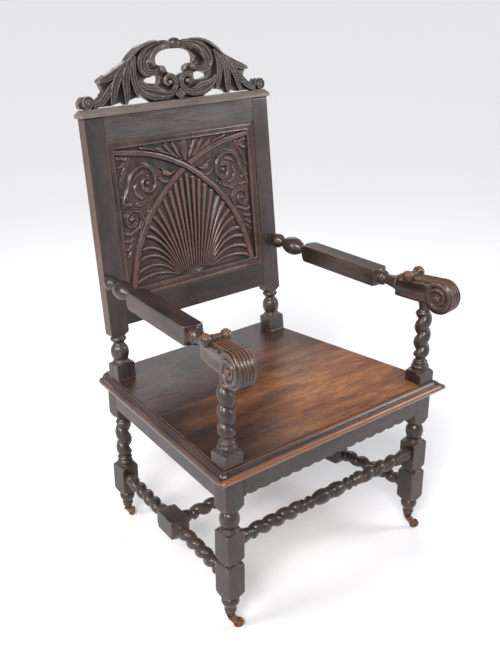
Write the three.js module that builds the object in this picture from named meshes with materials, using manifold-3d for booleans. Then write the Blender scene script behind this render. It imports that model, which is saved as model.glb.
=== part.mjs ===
// A carved oak throne armchair: trapezoid plank seat, barley-twist under-frame on brass casters,
// raked back with a fan-carved panel and a pierced crest, arms ending in reeded scrolls.
// Millimetres, +Z up, front towards -Y, the floor at z = 0.

import * as THREE from 'three';
import { mergeVertices } from 'three/addons/utils/BufferGeometryUtils.js';
import Module from 'manifold-3d';

const wasm = await Module();
wasm.setup();

// Gap kept between neighbouring pieces
const GAP = 0.3;

// Seat
const SEAT_TOP = 465;
const BOARD_T = 22;
const NOSE_FRONT_Y = -309.6;
const NOSE_FRONT_X = 378.5;
const NOSE_BACK_X = 306;
const SEAT_BACK_Y = 313;
const SPLAY = (NOSE_FRONT_X - NOSE_BACK_X) / (SEAT_BACK_Y - NOSE_FRONT_Y);
const EDGE_W = 24.2;
const EDGE_W_SIDE = 22.6;
const EDGE_BOTTOM = SEAT_TOP - 39;
const PLANK_JOINT_Y = 14;

// Under-frame
const FRONT_LEG = { x: 320.7, y: -263 };
const REAR_LEG = { x: 257, y: 285.5 };
const LEG_S = 50;
const TOP_BLOCK = { w: 54, d: 44 };
const FRAME_TOP = SEAT_TOP - BOARD_T - GAP;
const RAIL_BOTTOM = SEAT_TOP - 90;
// Where the square top block of a leg begins
const SHOULDER = RAIL_BOTTOM - 36;
const RAIL_T = 24;
const FOOT_Z = 50;
const SIDE_STRETCHER_Z = 146;
const FRONT_STRETCHER_Z = 250;
const SIDE_BLOCK_Y = 12;

// Back
const RAKE = 6.61 * Math.PI / 180;
const BACK_Y = 241.5;
const POST_X = 264.2;
const STILE_W = 54.4;
const STILE_T = 29.5;
const STILE_FOOT = 133;
const BACK_TOP = 677;
const OPEN_TOP = 615;
const OPEN_BOTTOM = 212;
const RAIL_FOOT = 144.6;

// Arms
const SUPPORT = { x: 324, y: -262 };
const SUPPORT_S = 52;
const ARM_Z_BACK = SEAT_TOP + 271;
const ARM_Z_FRONT = SEAT_TOP + 256;
const HAND_UNDER = SEAT_TOP + 222;

// Casters
const WHEEL_R = 13.5;
const WHEEL_W = 9;
const TRAIL = 20;

// Colours taken by eye from the finish: near-black waxed oak, warmer where it is rubbed
const oakDark = (name, color = 0x2f2622) => new THREE.MeshStandardMaterial({ name, color, roughness: 0.42, metalness: 0 });
const seatOak = (name) => new THREE.MeshStandardMaterial({ name, color: 0x6a3d24, roughness: 0.38, metalness: 0 });
const brass = (name, color = 0x5e4630) => new THREE.MeshStandardMaterial({ name, color, roughness: 0.45, metalness: 0.85 });

const throne = new THREE.Group();
throne.name = 'throne';

// Solids and their joins

function toManifold(geometry) {
  const g = geometry.clone();
  for (const key of Object.keys(g.attributes)) if (key !== 'position') g.deleteAttribute(key);
  const merged = mergeVertices(g, 1e-4);
  const position = merged.attributes.position;
  const index = new Uint32Array(merged.index.array);
  // Outlines drawn the other way round come out inside out, so their faces are turned
  const a = new THREE.Vector3();
  const b = new THREE.Vector3();
  const c = new THREE.Vector3();
  let volume = 0;
  for (let i = 0; i < index.length; i += 3) {
    a.fromBufferAttribute(position, index[i]);
    b.fromBufferAttribute(position, index[i + 1]);
    c.fromBufferAttribute(position, index[i + 2]);
    volume += a.dot(b.cross(c));
  }
  if (volume < 0) {
    for (let i = 0; i < index.length; i += 3) {
      const first = index[i];
      index[i] = index[i + 1];
      index[i + 1] = first;
    }
  }
  return new wasm.Manifold(new wasm.Mesh({
    numProp: 3,
    vertProperties: new Float32Array(position.array),
    triVerts: index,
  }));
}

function toGeometry(solid) {
  const mesh = solid.getMesh();
  const g = new THREE.BufferGeometry();
  g.setAttribute('position', new THREE.BufferAttribute(new Float32Array(mesh.vertProperties), 3));
  g.setIndex(new THREE.BufferAttribute(new Uint32Array(mesh.triVerts), 1));
  g.computeVertexNormals();
  return g;
}

const unite = (...solids) => solids.flat().reduce((a, b) => a.add(b));

// Adds one named piece to a parent group
function piece(parent, name, geometryOrSolid, material) {
  const geometry = geometryOrSolid.isBufferGeometry ? geometryOrSolid : toGeometry(geometryOrSolid);
  const mesh = new THREE.Mesh(geometry, material);
  mesh.name = name;
  parent.add(mesh);
  return mesh;
}

const V2 = (x, y) => new THREE.Vector2(x, y);

// A turned solid about Z from [radius, z] stations, bottom to top
function turned(stations, segments = 8) {
  const first = stations[0];
  const last = stations[stations.length - 1];
  const profile = [V2(0, first[1]), ...stations.map(([r, z]) => V2(r, z)), V2(0, last[1])];
  const g = new THREE.LatheGeometry(profile, segments);
  g.rotateX(Math.PI / 2);
  return toManifold(g);
}

function box(x0, x1, y0, y1, z0, z1) {
  const g = new THREE.BoxGeometry(x1 - x0, y1 - y0, z1 - z0);
  g.translate((x0 + x1) / 2, (y0 + y1) / 2, (z0 + z1) / 2);
  return toManifold(g);
}

const bar = (w, d, z0, z1) => box(-w / 2, w / 2, -d / 2, d / 2, z0, z1);

// A flat outline in (x, y) raised between two heights
function raised(points, z0, z1, holes = []) {
  const shape = new THREE.Shape(points.map(([x, y]) => V2(x, y)));
  for (const h of holes) shape.holes.push(new THREE.Path(h.map(([x, y]) => V2(x, y))));
  const g = new THREE.ExtrudeGeometry(shape, { depth: z1 - z0, bevelEnabled: false });
  g.translate(0, 0, z0);
  return toManifold(g);
}

// A flat outline in (x, z) given thickness along Y, from y0 to y1
function upright(points, y0, y1, holes = []) {
  return raised(points, -y1, -y0, holes).rotate([90, 0, 0]);
}

// Barley twist about Z: one rounded rib with a tight hollow, winding once in each pitch.
// Its section is turned along the length, so the rib's crest runs along the mesh.
const FIVE_CORNERS = [[0, 1.0], [66, 0.8], [140, 0.04], [-140, 0.04], [-66, 0.8]];
const FOUR_CORNERS = [[0, 1.0], [82, 0.62], [180, 0.0], [-82, 0.62]];
function twist(z0, z1, ribR, coreR, pitch, hand, phase = 0, stepsPerTurn = 5.5, section = FIVE_CORNERS) {
  const length = z1 - z0;
  const steps = Math.max(4, Math.round(length / pitch * stepsPerTurn));
  const corners = section.length;
  const g = new THREE.CylinderGeometry(1, 1, length, corners, steps);
  g.rotateX(Math.PI / 2);
  const p = g.attributes.position;
  for (let i = 0; i < p.count; i++) {
    const z = p.getZ(i) + length / 2;
    const onAxis = Math.hypot(p.getX(i), p.getY(i)) < 0.5;
    // Which corner of the section this is, counted round from the rib's crest
    const corner = Math.round(Math.atan2(p.getX(i), -p.getY(i)) / (Math.PI * 2) * corners + corners * 2) % corners;
    const [angle, rib] = section[corner];
    const fade = Math.min(1, z / (pitch * 0.3), (length - z) / (pitch * 0.3));
    const r = onAxis ? 0 : coreR + (ribR - coreR) * rib * (0.3 + 0.7 * fade);
    const b = angle * Math.PI / 180 - z / pitch * Math.PI * 2 + phase;
    p.setXYZ(i, r * Math.cos(b), r * Math.sin(b), z + z0);
  }
  // Wound left-handed here; the right-handed one is its mirror
  return hand < 0 ? toManifold(g) : mirrorX(toManifold(g));
}

// Turns a solid made along +Z to run along a direction from a start point
function alongLine(solid, from, to, rollX = 0) {
  const dir = new THREE.Vector3(to[0] - from[0], to[1] - from[1], to[2] - from[2]).normalize();
  // Local X stays level, so square parts keep a level top
  const x = new THREE.Vector3(0, 0, 1).cross(dir).normalize();
  const y = dir.clone().cross(x);
  if (rollX) {
    x.applyAxisAngle(dir, rollX);
    y.applyAxisAngle(dir, rollX);
  }
  const m = new THREE.Matrix4().makeBasis(x, y, dir).setPosition(...from);
  return solid.transform(m.elements);
}

const mirrorX = (solid) => solid.mirror([1, 0, 0]);
const dist = (a, b) => Math.hypot(b[0] - a[0], b[1] - a[1], (b[2] ?? 0) - (a[2] ?? 0));

// Seat

// Half width of the moulding's outer edge at y, and of its inner edge
const noseX = (y) => NOSE_FRONT_X - SPLAY * (y - NOSE_FRONT_Y);
const innerX = (y) => noseX(y) - EDGE_W_SIDE;
const INNER_FRONT_Y = NOSE_FRONT_Y + EDGE_W;

// Section of the seat's edge: [inset from the outermost line, height]
function edgeSection() {
  const torus = [];
  for (let i = 0; i <= 4; i++) {
    const a = Math.PI / 2 + i * Math.PI / 4;
    torus.push([9 + 9 * Math.cos(a), SEAT_TOP - 21.4 + 9 * Math.sin(a)]);
  }
  const top = SEAT_TOP - 2.4;
  return [[EDGE_W, top], [19.5, top], [14, top - 4.1], [11.5, top - 10], ...torus,
    [11, EDGE_BOTTOM + 6.4], [13.5, EDGE_BOTTOM + 3], [20, EDGE_BOTTOM + 2], [20, EDGE_BOTTOM], [EDGE_W, EDGE_BOTTOM]];
}

// A mitred length of the moulding between two ends, each given by its outer and inner plan points
function moulding(startOuter, startInner, endOuter, endInner) {
  const shape = new THREE.Shape(edgeSection().map(([o, z]) => V2(o, z)));
  const g = new THREE.ExtrudeGeometry(shape, { depth: 1, bevelEnabled: false });
  const p = g.attributes.position;
  for (let i = 0; i < p.count; i++) {
    const o = p.getX(i) / EDGE_W;
    const z = p.getY(i);
    const end = p.getZ(i) > 0.5;
    const outer = end ? endOuter : startOuter;
    const inner = end ? endInner : startInner;
    p.setXYZ(i, outer[0] + (inner[0] - outer[0]) * o, outer[1] + (inner[1] - outer[1]) * o, z);
  }
  return toManifold(g);
}

const planks = {
  seat_board_front: [INNER_FRONT_Y + GAP, PLANK_JOINT_Y - GAP / 2],
  seat_board_rear: [PLANK_JOINT_Y + GAP / 2, SEAT_BACK_Y + 1.5],
};
for (const [name, [y0, y1]] of Object.entries(planks)) {
  const a = innerX(y0) - GAP;
  const b = innerX(y1) - GAP;
  piece(throne, name, raised([[-a, y0], [a, y0], [b, y1], [-b, y1]], SEAT_TOP - BOARD_T, SEAT_TOP), seatOak(name));
}

{
  const m = GAP / 2;
  const outer = [NOSE_FRONT_X, NOSE_FRONT_Y];
  const inner = [innerX(INNER_FRONT_Y), INNER_FRONT_Y];
  piece(throne, 'seat_moulding_front',
    moulding([-outer[0] + m, outer[1]], [-inner[0] + m, inner[1]], [outer[0] - m, outer[1]], [inner[0] - m, inner[1]]),
    oakDark('seat_moulding_front', 0x4a3024));
  const side = moulding([outer[0], outer[1] + m], [inner[0], inner[1] + m],
    [noseX(SEAT_BACK_Y), SEAT_BACK_Y], [innerX(SEAT_BACK_Y), SEAT_BACK_Y]);
  piece(throne, 'seat_moulding_right', side, oakDark('seat_moulding_right', 0x4a3024));
  piece(throne, 'seat_moulding_left', mirrorX(side), oakDark('seat_moulding_left', 0x4a3024));
}

// Legs

// Turning of a front leg, foot to seat frame: radii over 36 leave the square full
const frontLegTurning = [
  [11, FOOT_Z], [15.3, 57], [14, 67], [22.6, 87], [18.5, 101],
  [38, 115], [38, 185], [21, 200], [38, 219], [38, 280], [22, 291], [18.5, 295.5],
  [22.8, 306], [23.6, 317], [22.4, 328], [17, SHOULDER - 2], [44, SHOULDER + 18], [44, FRAME_TOP],
];
const frontLeg = turned(frontLegTurning).intersect(unite(
  bar(LEG_S, LEG_S, FOOT_Z - 1, SHOULDER), bar(TOP_BLOCK.w, TOP_BLOCK.d, SHOULDER - 0.5, FRAME_TOP + 1)));

const rearLower = turned([
  [11, FOOT_Z - 2], [15, 56], [14, 64], [21.3, 79], [18, 95],
  [38, 109], [38, 175], [20.5, 189.5], [21.5, 196], [17, 201], [20.5, 207], [14.5, 214],
]).intersect(bar(LEG_S, LEG_S, 40, 230));
const rearTop = turned([
  [14.5, 328], [19, SHOULDER - 3], [44, SHOULDER + 16], [44, FRAME_TOP],
]).intersect(bar(TOP_BLOCK.w, TOP_BLOCK.d, 320, FRAME_TOP + 1));
const rearLeg = (hand) => unite(rearLower, rearTop, twist(213, 329, 22, 11.5, 48, hand, hand * 0.6, 5, FOUR_CORNERS));

for (const [side, s] of [['left', -1], ['right', 1]]) {
  const front = piece(throne, `front_leg_${side}`, s < 0 ? frontLeg : mirrorX(frontLeg), oakDark(`front_leg_${side}`));
  front.position.set(s * FRONT_LEG.x, FRONT_LEG.y, 0);
  const rear = piece(throne, `rear_leg_${side}`, rearLeg(s), oakDark(`rear_leg_${side}`));
  rear.position.set(s * REAR_LEG.x, REAR_LEG.y, 0);
}

// Seat frame

// The front apron hangs in a row of small rounded lobes
{
  const x1 = FRONT_LEG.x - TOP_BLOCK.w / 2 - GAP;
  const lobes = 16;
  const pitch = (x1 * 2 - 16) / lobes;
  const foot = RAIL_BOTTOM - 1;
  const notch = foot + 6;
  const pts = [[-x1, FRAME_TOP], [-x1, foot], [-x1 + 3.5, foot], [-x1 + 8, notch]];
  for (let i = 0; i < lobes; i++) {
    const x = -x1 + 8 + i * pitch;
    pts.push([x + pitch * 0.25, foot + 0.2], [x + pitch * 0.75, foot + 0.2], [x + pitch, notch]);
  }
  pts.push([x1 - 3.5, foot], [x1, foot], [x1, FRAME_TOP]);
  const y0 = FRONT_LEG.y - TOP_BLOCK.d / 2;
  piece(throne, 'apron_front', upright(pts, y0, y0 + RAIL_T), oakDark('apron_front'));
}

{
  const y0 = FRONT_LEG.y + TOP_BLOCK.d / 2 + GAP;
  const y1 = REAR_LEG.y - TOP_BLOCK.d / 2 - GAP;
  const face = (y) => innerX(y) - 1.2;
  const plan = [[face(y0) - RAIL_T, y0], [face(y0), y0], [face(y1), y1], [face(y1) - RAIL_T, y1]];
  const rail = raised(plan, RAIL_BOTTOM, FRAME_TOP);
  piece(throne, 'side_rail_right', rail, oakDark('side_rail_right'));
  piece(throne, 'side_rail_left', mirrorX(rail), oakDark('side_rail_left'));
  const x1 = REAR_LEG.x - TOP_BLOCK.w / 2 - GAP;
  const yb = REAR_LEG.y + TOP_BLOCK.d / 2;
  piece(throne, 'back_seat_rail', box(-x1, x1, yb - RAIL_T, yb, RAIL_BOTTOM, FRAME_TOP), oakDark('back_seat_rail'));
}

// Stretchers

// A twisted run between two plain ends, in a solid made along Z
function twistRun(z0, z1, hand, phase, section = FOUR_CORNERS) {
  return twist(z0, z1, 18.8, 10, 42, hand, phase, 4.5, section);
}

// Front stretcher: bell ends, a twist on each side and a two-lobed vase at the middle
const frontHalf = FRONT_LEG.x - LEG_S / 2 - GAP;
{
  const L = frontHalf;
  const vase = turned([
    [14.5, -96], [16.5, -88], [11, -80], [17.5, -67], [11, -55],
    [18.5, -36], [19.5, -18], [14.5, -6], [16.5, 0], [14.5, 6],
    [19.5, 18], [18.5, 36], [11, 55], [17.5, 67], [11, 80], [16.5, 88], [14.5, 96],
  ], 7);
  const bell = turned([[18.5, -L], [18, -280], [14.5, -263]], 7);
  const solid = unite(vase, bell, bell.mirror([0, 0, 1]),
    twistRun(-264, -95, 1, 0), twistRun(95, 264, -1, Math.PI));
  piece(throne, 'front_stretcher',
    alongLine(solid, [0, FRONT_LEG.y, FRONT_STRETCHER_Z], [1, FRONT_LEG.y, FRONT_STRETCHER_Z]),
    oakDark('front_stretcher'));
}

// Side stretchers: a square block off the middle, twist before and behind it
const sideDir = new THREE.Vector2(REAR_LEG.x - FRONT_LEG.x, REAR_LEG.y - FRONT_LEG.y).normalize();
const sideBlock = { x: FRONT_LEG.x + (SIDE_BLOCK_Y - FRONT_LEG.y) * sideDir.x / sideDir.y, y: SIDE_BLOCK_Y };
const BLOCK_S = 52;
for (const [side, s] of [['left', -1], ['right', 1]]) {
  const startGap = (LEG_S / 2 + GAP) / sideDir.y + 1.7;
  const from = [s * (FRONT_LEG.x + sideDir.x * startGap), FRONT_LEG.y + sideDir.y * startGap, SIDE_STRETCHER_Z];
  const full = dist([FRONT_LEG.x, FRONT_LEG.y], [REAR_LEG.x, REAR_LEG.y]) - 2 * startGap;
  const mid = dist([from[0], from[1]], [s * sideBlock.x, sideBlock.y]);
  const block = turned([[19, mid - 46], [40, mid - 33], [40, mid + 33], [19, mid + 46]], 8).intersect(bar(BLOCK_S, BLOCK_S, mid - 46, mid + 46));
  const ends = (z, flip) => {
    const e = turned([[17, 0], [17.5, 9], [14.5, 17]], 6);
    return flip ? e.mirror([0, 0, 1]).translate([0, 0, z]) : e.translate([0, 0, z]);
  };
  const solid = unite(block, ends(0, false), ends(full, true),
    twistRun(16, mid - 45, s, 0), twistRun(mid + 45, full - 16, -s, Math.PI));
  const to = [s * REAR_LEG.x, REAR_LEG.y, SIDE_STRETCHER_Z];
  piece(throne, `side_stretcher_${side}`, alongLine(solid, from, to), oakDark(`side_stretcher_${side}`));
}

// Cross stretcher between the two side blocks
{
  const L = sideBlock.x - (BLOCK_S / 2) / sideDir.y - GAP - 3.1;
  const vase = turned([[14.5, -66], [16.5, -58], [12, -50], [19.3, -22], [15, 0], [19.3, 22], [12, 50], [16.5, 58], [14.5, 66]], 6);
  const bell = turned([[18, -L], [17.5, -L + 12], [14.5, -L + 24]], 6);
  const solid = unite(vase, bell, bell.mirror([0, 0, 1]), twistRun(-L + 23, -65, 1, 0), twistRun(65, L - 23, -1, Math.PI));
  piece(throne, 'cross_stretcher',
    alongLine(solid, [0, SIDE_BLOCK_Y, SIDE_STRETCHER_Z], [1, SIDE_BLOCK_Y, SIDE_STRETCHER_Z]),
    oakDark('cross_stretcher'));
}

// Back

// Everything of the back leans together: x across, y depth behind the front face, z up the lean
const back = new THREE.Group();
back.position.set(0, BACK_Y, SEAT_TOP);
back.rotation.x = -RAKE;
throne.add(back);

// Back post: block on the seat, ball, ring, then the flat stile
const POST_C = STILE_T / 2;
{
  const low = turned([
    [44, -4], [44, 40], [21.5, 51], [19.5, 55], [23, 66], [23.7, 76], [22.4, 87],
    [17, 95], [14.5, 101], [20.5, 110], [18, 118], [25, 127], [44, 132.9],
  ]).intersect(unite(bar(54, 44, -4, 56), bar(54, 48, 55.5, 119), bar(STILE_W, STILE_T, 118.5, STILE_FOOT)));
  const stile = bar(STILE_W, STILE_T, STILE_FOOT - 0.5, BACK_TOP);
  // The foot is cut level to stand on the seat
  const cutter = box(-60, 60, -60, 60, -60, 0).rotate([RAKE * 180 / Math.PI, 0, 0])
    .translate([0, -POST_C, 0]).translate([0, 0, GAP / Math.cos(RAKE)]);
  const post = unite(low, stile).subtract(cutter);
  for (const [side, s] of [['left', -1], ['right', 1]]) {
    const m = piece(back, `back_post_${side}`, s < 0 ? post : mirrorX(post), oakDark(`back_post_${side}`));
    m.position.set(s * POST_X, POST_C, 0);
  }
}

const STILE_IN = POST_X - STILE_W / 2 - GAP;
piece(back, 'back_top_rail', box(-STILE_IN, STILE_IN, 0, 26, OPEN_TOP, BACK_TOP), oakDark('back_top_rail'));
piece(back, 'back_bottom_rail', box(-STILE_IN, STILE_IN, 0, 26, RAIL_FOOT, OPEN_BOTTOM), oakDark('back_bottom_rail'));

// Carved panel. Depths: its border lies 4 behind the frame, its sunk ground 12
const PANEL_X = STILE_IN - GAP;
const PANEL_Z0 = OPEN_BOTTOM + GAP;
const PANEL_Z1 = OPEN_TOP - GAP;
const BORDER = 22;
const FACE_V = 4;
const GROUND_V = 12;
const PANEL_BACK_V = 22;

// Centre line of the left-to-right band; the other band mirrors it
const BAND = [[-216, 586], [-130, 575], [-65, 556], [0, 525], [54, 486], [100, 443], [146, 382], [184, 303], [201, 226]];
const BAND_W = 15;

// A ribbon of given width along a centre line, as a closed outline
function ribbon(line, width) {
  const left = [];
  const right = [];
  for (let i = 0; i < line.length; i++) {
    const a = line[Math.max(0, i - 1)];
    const b = line[Math.min(line.length - 1, i + 1)];
    const n = Math.hypot(b[0] - a[0], b[1] - a[1]);
    const w = (typeof width === 'function' ? width(i / (line.length - 1)) : width) / 2;
    const nx = -(b[1] - a[1]) / n * w;
    const ny = (b[0] - a[0]) / n * w;
    left.push([line[i][0] + nx, line[i][1] + ny]);
    right.push([line[i][0] - nx, line[i][1] - ny]);
  }
  return [...right, ...left.reverse()];
}

// Height of the band's lower edge over a given x, where the fan's reeds end
function bandInside(x) {
  const ax = Math.abs(x);
  for (let i = 3; i < BAND.length - 1; i++) {
    if (ax >= BAND[i][0] && ax <= BAND[i + 1][0]) {
      const t = (ax - BAND[i][0]) / (BAND[i + 1][0] - BAND[i][0]);
      return BAND[i][1] + (BAND[i + 1][1] - BAND[i][1]) * t;
    }
  }
  return 0;
}

// The fan: tapering reeds that spring from a boss at the foot, bend outwards and end inside the bands.
// Lines 0 to 2N run along the valleys and crests in turn.
const FAN_REEDS = 21;
const FAN_SPREAD = 80 * Math.PI / 180;
function fanPoint(line, along) {
  const t = line / FAN_REEDS - 1;
  const lean = t * FAN_SPREAD;
  const foot = [t * 27, 238 + 7 * (1 - t * t)];
  const bend = (r) => Math.abs(t) * 44 * Math.sin(Math.min(1, r / 230) * Math.PI);
  const at = (r) => [foot[0] + Math.sin(lean) * r, foot[1] + Math.cos(lean) * r + bend(r)];
  let reach = 30;
  while (reach < 320) {
    const [x, z] = at(reach);
    if (z > bandInside(x) - BAND_W * 0.5 - 9 || Math.abs(x) > 186) break;
    reach += 2;
  }
  return at(reach * along);
}
function fan(base) {
  const rows = 2;
  const g = new THREE.BoxGeometry(1, 1, 1, FAN_REEDS * 2, 1, rows);
  const p = g.attributes.position;
  for (let i = 0; i < p.count; i++) {
    const line = Math.round((p.getX(i) + 0.5) * FAN_REEDS * 2);
    const along = Math.round((p.getZ(i) + 0.5) * rows) / rows;
    const crest = line % 2 === 1;
    const [x, z] = fanPoint(line, along * (crest ? 1 : 0.965));
    const height = crest ? FACE_V + 6 - 4.5 * Math.min(1, along * 2) : GROUND_V - 0.4;
    p.setXYZ(i, x, p.getY(i) > 0 ? base : height, z);
  }
  return toManifold(g);
}

// A carved ridge in the plane of the back: [x, z, half width] stations, from a buried base up to its crest
function ridge(stations, base, crest) {
  const shape = new THREE.Shape([V2(-1, 0), V2(1, 0), V2(0, 1)]);
  const n = stations.length - 1;
  const g = new THREE.ExtrudeGeometry(shape, { depth: n, steps: n, bevelEnabled: false });
  const p = g.attributes.position;
  for (let i = 0; i < p.count; i++) {
    const k = Math.round(p.getZ(i));
    const a = stations[Math.max(0, k - 1)];
    const b = stations[Math.min(n, k + 1)];
    const len = Math.hypot(b[0] - a[0], b[1] - a[1]);
    const nx = (b[1] - a[1]) / len;
    const nz = -(b[0] - a[0]) / len;
    const side = p.getX(i) * stations[k][2];
    const top = typeof crest === 'function' ? crest(k / n) : crest;
    p.setXYZ(i, stations[k][0] + nx * side, base + (top - base) * p.getY(i), stations[k][1] + nz * side);
  }
  return toManifold(g);
}

// Gives each point of a line a half width that runs from w0 to w1
const tapered = (line, w0, w1) => line.map(([x, z], i) => [x, z, w0 + (w1 - w0) * i / (line.length - 1)]);

// Points along a spiral that opens or closes as it turns
function spiralLine(cx, cz, r0, r1, a0, a1, n) {
  const line = [];
  for (let i = 0; i <= n; i++) {
    const t = i / n;
    const r = r0 + (r1 - r0) * t;
    const a = a0 + (a1 - a0) * t;
    line.push([cx + r * Math.cos(a), cz + r * Math.sin(a)]);
  }
  return line;
}

{
  const board = box(-PANEL_X, PANEL_X, FACE_V, PANEL_BACK_V, PANEL_Z0, PANEL_Z1);
  const sunk = box(-PANEL_X + BORDER, PANEL_X - BORDER, -10, GROUND_V, PANEL_Z0 + BORDER, PANEL_Z1 - BORDER);
  const clipTo = box(-PANEL_X + BORDER - 1, PANEL_X - BORDER + 1, -20, GROUND_V + 2, PANEL_Z0 + BORDER - 1, PANEL_Z1 - BORDER + 1);
  const relief = [];
  const bandSolid = upright(ribbon(BAND, BAND_W), FACE_V + 0.6, GROUND_V + 1);
  relief.push(bandSolid, mirrorX(bandSolid));
  const BASE = GROUND_V + 1.5;
  relief.push(fan(BASE));
  const leaves = [
    // Great leaf of the spandrel: its stem under the band, then the scroll
    ridge(tapered([[-204, 504], [-178, 538], [-130, 543], [-94, 518], [-94, 482], [-126, 467], [-140, 494], [-120, 500]],
      13, 8), BASE, FACE_V + 1),
    ridge(tapered([[-200, 508], [-186, 460], [-166, 426]], 11, 8), BASE, FACE_V + 2),
    ridge(tapered(spiralLine(-185, 410, 21, 10, 0.9, -4.2, 4), 8, 7), BASE, FACE_V + 2.5),
    ridge(tapered([[-80, 522], [-58, 510], [-40, 512]], 4, 9), BASE, FACE_V + 2),
    ridge(tapered([[-206, 376], [-193, 366], [-202, 334]], 8, 3), BASE, FACE_V + 3),
  ];
  for (const s of leaves) relief.push(s, mirrorX(s));
  // Palmette over the crossing: a bud between raised tongues
  relief.push(ridge([[0, 541, 4], [0, 562, 11], [0, 590, 5]], BASE, FACE_V + 1));
  for (const s of [-1, 1]) {
    for (const [x0, z0, x1, z1, w] of [[12, 548, 28, 590, 8], [22, 552, 56, 590, 10], [38, 555, 90, 584, 9]]) {
      relief.push(ridge([[s * x0, z0, 4], [s * x1, z1, w]], BASE, FACE_V + 2));
    }
  }
  const carved = unite(relief).intersect(clipTo);
  piece(back, 'back_panel', board.subtract(sunk).add(carved).simplify(0.8), oakDark('back_panel', 0x33251f));
}

// Capping: a strip with a forward nose and a sloped top, standing proud at both ends
const CAP_FOOT = BACK_TOP + GAP;
const CAP_X = 297.5;
const CAP_NOSE = 8;
const CAP_TOP = CAP_FOOT + 19;
{
  const capBox = box(-CAP_X, CAP_X, -6, STILE_T + 5, CAP_FOOT, CAP_FOOT + CAP_NOSE);
  const g = new THREE.BoxGeometry(1, 1, 1);
  const p = g.attributes.position;
  for (let i = 0; i < p.count; i++) {
    const top = p.getZ(i) > 0;
    const x = Math.sign(p.getX(i)) * (top ? CAP_X - 11 : CAP_X);
    const y = p.getY(i) < 0 ? (top ? 1 : -6) : (top ? STILE_T - 1 : STILE_T + 5);
    p.setXYZ(i, x, y, top ? CAP_TOP : CAP_FOOT + CAP_NOSE - 0.01);
  }
  const cap = capBox.add(toManifold(g));
  piece(back, 'crest_cap', cap, oakDark('crest_cap', 0x4b4039));
}

// Crest

// One half of the pierced crest in (x, height over the cap); the other half mirrors it
const CREST_Z = CAP_TOP + GAP;
const CREST_V0 = 3;
const CREST_V1 = 27;
{
  const H = (list) => list.map(([x, z]) => [x, z + CREST_Z]);
  const slab = (pts, v0, v1, holes = []) => upright(H(pts), v0, v1, holes.map(H));
  // Outer outline of the right half, counter-clockwise from the foot at the middle
  const outline = [
    [0, 0], [84, 0], [104, 12], [120, 31], [124, 16], [150, 9], [162, 0], [176, 7], [200, 0], [292, 0],
    [297, 16], [284, 32], [260, 32], [246, 16], [221, 33], [238, 61], [191, 76],
    [160, 99], [131, 125], [104, 141], [46, 150], [0, 153],
  ];
  const hole = [[0, 125], [43, 121], [59, 107], [54, 88], [33, 84], [26, 68], [0, 56]];
  const hole2 = [[55, 62], [76, 65], [101, 55], [84, 46], [58, 43]];
  const half = slab(outline, CREST_V0 + 4, CREST_V1);
  const full = half.add(mirrorX(half));
  const holeR = upright(H(hole), -20, 60);
  const hole2S = upright(H(hole2), -20, 60);
  let crest = full.subtract(unite(holeR, mirrorX(holeR), hole2S, mirrorX(hole2S)));
  const carve = (line, w0, w1, proud) => ridge(tapered(H(line), w0, w1), CREST_V0 + 8, CREST_V0 - proud);
  const extras = [
    // Upper scroll: its bud under the collar, and its broad leaf round to the small ball
    carve([[26, 138], [56, 128], [84, 96]], 6, 8, 6),
    carve([[86, 136], [114, 106], [100, 74], [72, 76]], 10, 9, 4),
    // Lower scroll: a broad leaf along the foot that rolls up beside the middle
    carve([[124, 50], [88, 20], [22, 17], [10, 44], [24, 62]], 8, 8, 4),
    // Flutes of the falling leaf
    carve([[128, 112], [136, 62], [130, 18]], 4, 8, 4),
    carve([[140, 104], [160, 56], [162, 2]], 4, 10, 5),
    carve([[156, 92], [188, 54], [202, 4]], 4, 11, 4),
    carve([[172, 80], [232, 58]], 6, 4, 3),
    // End curl over the cap's end, and its stem
    carve(spiralLine(272, 14, 18, 8, 3.3, -0.6, 3), 8, 7, 5),
    carve([[196, 50], [222, 22], [254, 6]], 7, 8, 4),
  ];
  for (const e of extras) crest = crest.add(e).add(mirrorX(e));
  const ball = toManifold(new THREE.SphereGeometry(9, 5, 3)).translate([46, 6, CREST_Z + 78]);
  crest = crest.add(ball).add(mirrorX(ball));
  const knop = toManifold(new THREE.SphereGeometry(18, 6, 4)).scale([1, 0.83, 1]).translate([0, 12, CREST_Z + 137]);
  const lozenge = slab([[0, -1], [17, 9], [0, 27], [-17, 9]], CREST_V0 - 7, CREST_V1);
  crest = crest.add(knop).add(lozenge);
  // The curls at the ends are fitted over the cap's slope
  const keepAbove = box(-310, 310, -20, 50, CREST_Z, CREST_Z + 200);
  crest = crest.intersect(keepAbove);
  piece(back, 'crest', crest.simplify(0.8), oakDark('crest', 0x3a332e));
}

// Arm supports

const supportSolid = (hand) => unite(
  turned([
    [44, SEAT_TOP + GAP], [44, SEAT_TOP + 24], [22.5, SEAT_TOP + 35], [23.2, SEAT_TOP + 42],
    [18, SEAT_TOP + 50], [19.5, SEAT_TOP + 54], [13.5, SEAT_TOP + 62], [14.5, SEAT_TOP + 67],
  ]).intersect(bar(SUPPORT_S, SUPPORT_S, SEAT_TOP, SEAT_TOP + 75)),
  twist(SEAT_TOP + 66, HAND_UNDER - 22, 21.5, 11.5, 43, hand, hand * 0.8, 5, FOUR_CORNERS),
  turned([[14.5, HAND_UNDER - 23], [17, HAND_UNDER - GAP]]));
for (const [side, s] of [['left', -1], ['right', 1]]) {
  const m = piece(throne, `arm_support_${side}`, supportSolid(s), oakDark(`arm_support_${side}`));
  m.position.set(s * SUPPORT.x, SUPPORT.y, 0);
}

// Arms

// Side view of the hand rest: s forward of the support, z over the floor
const EYE = { s: 47, z: HAND_UNDER + 24, r: 43 };
const HAND_W = 25;
// Where the roll lies across the rest
const ROLL = { s: -40, z: HAND_UNDER + 63, r: 13.4 };

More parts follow.
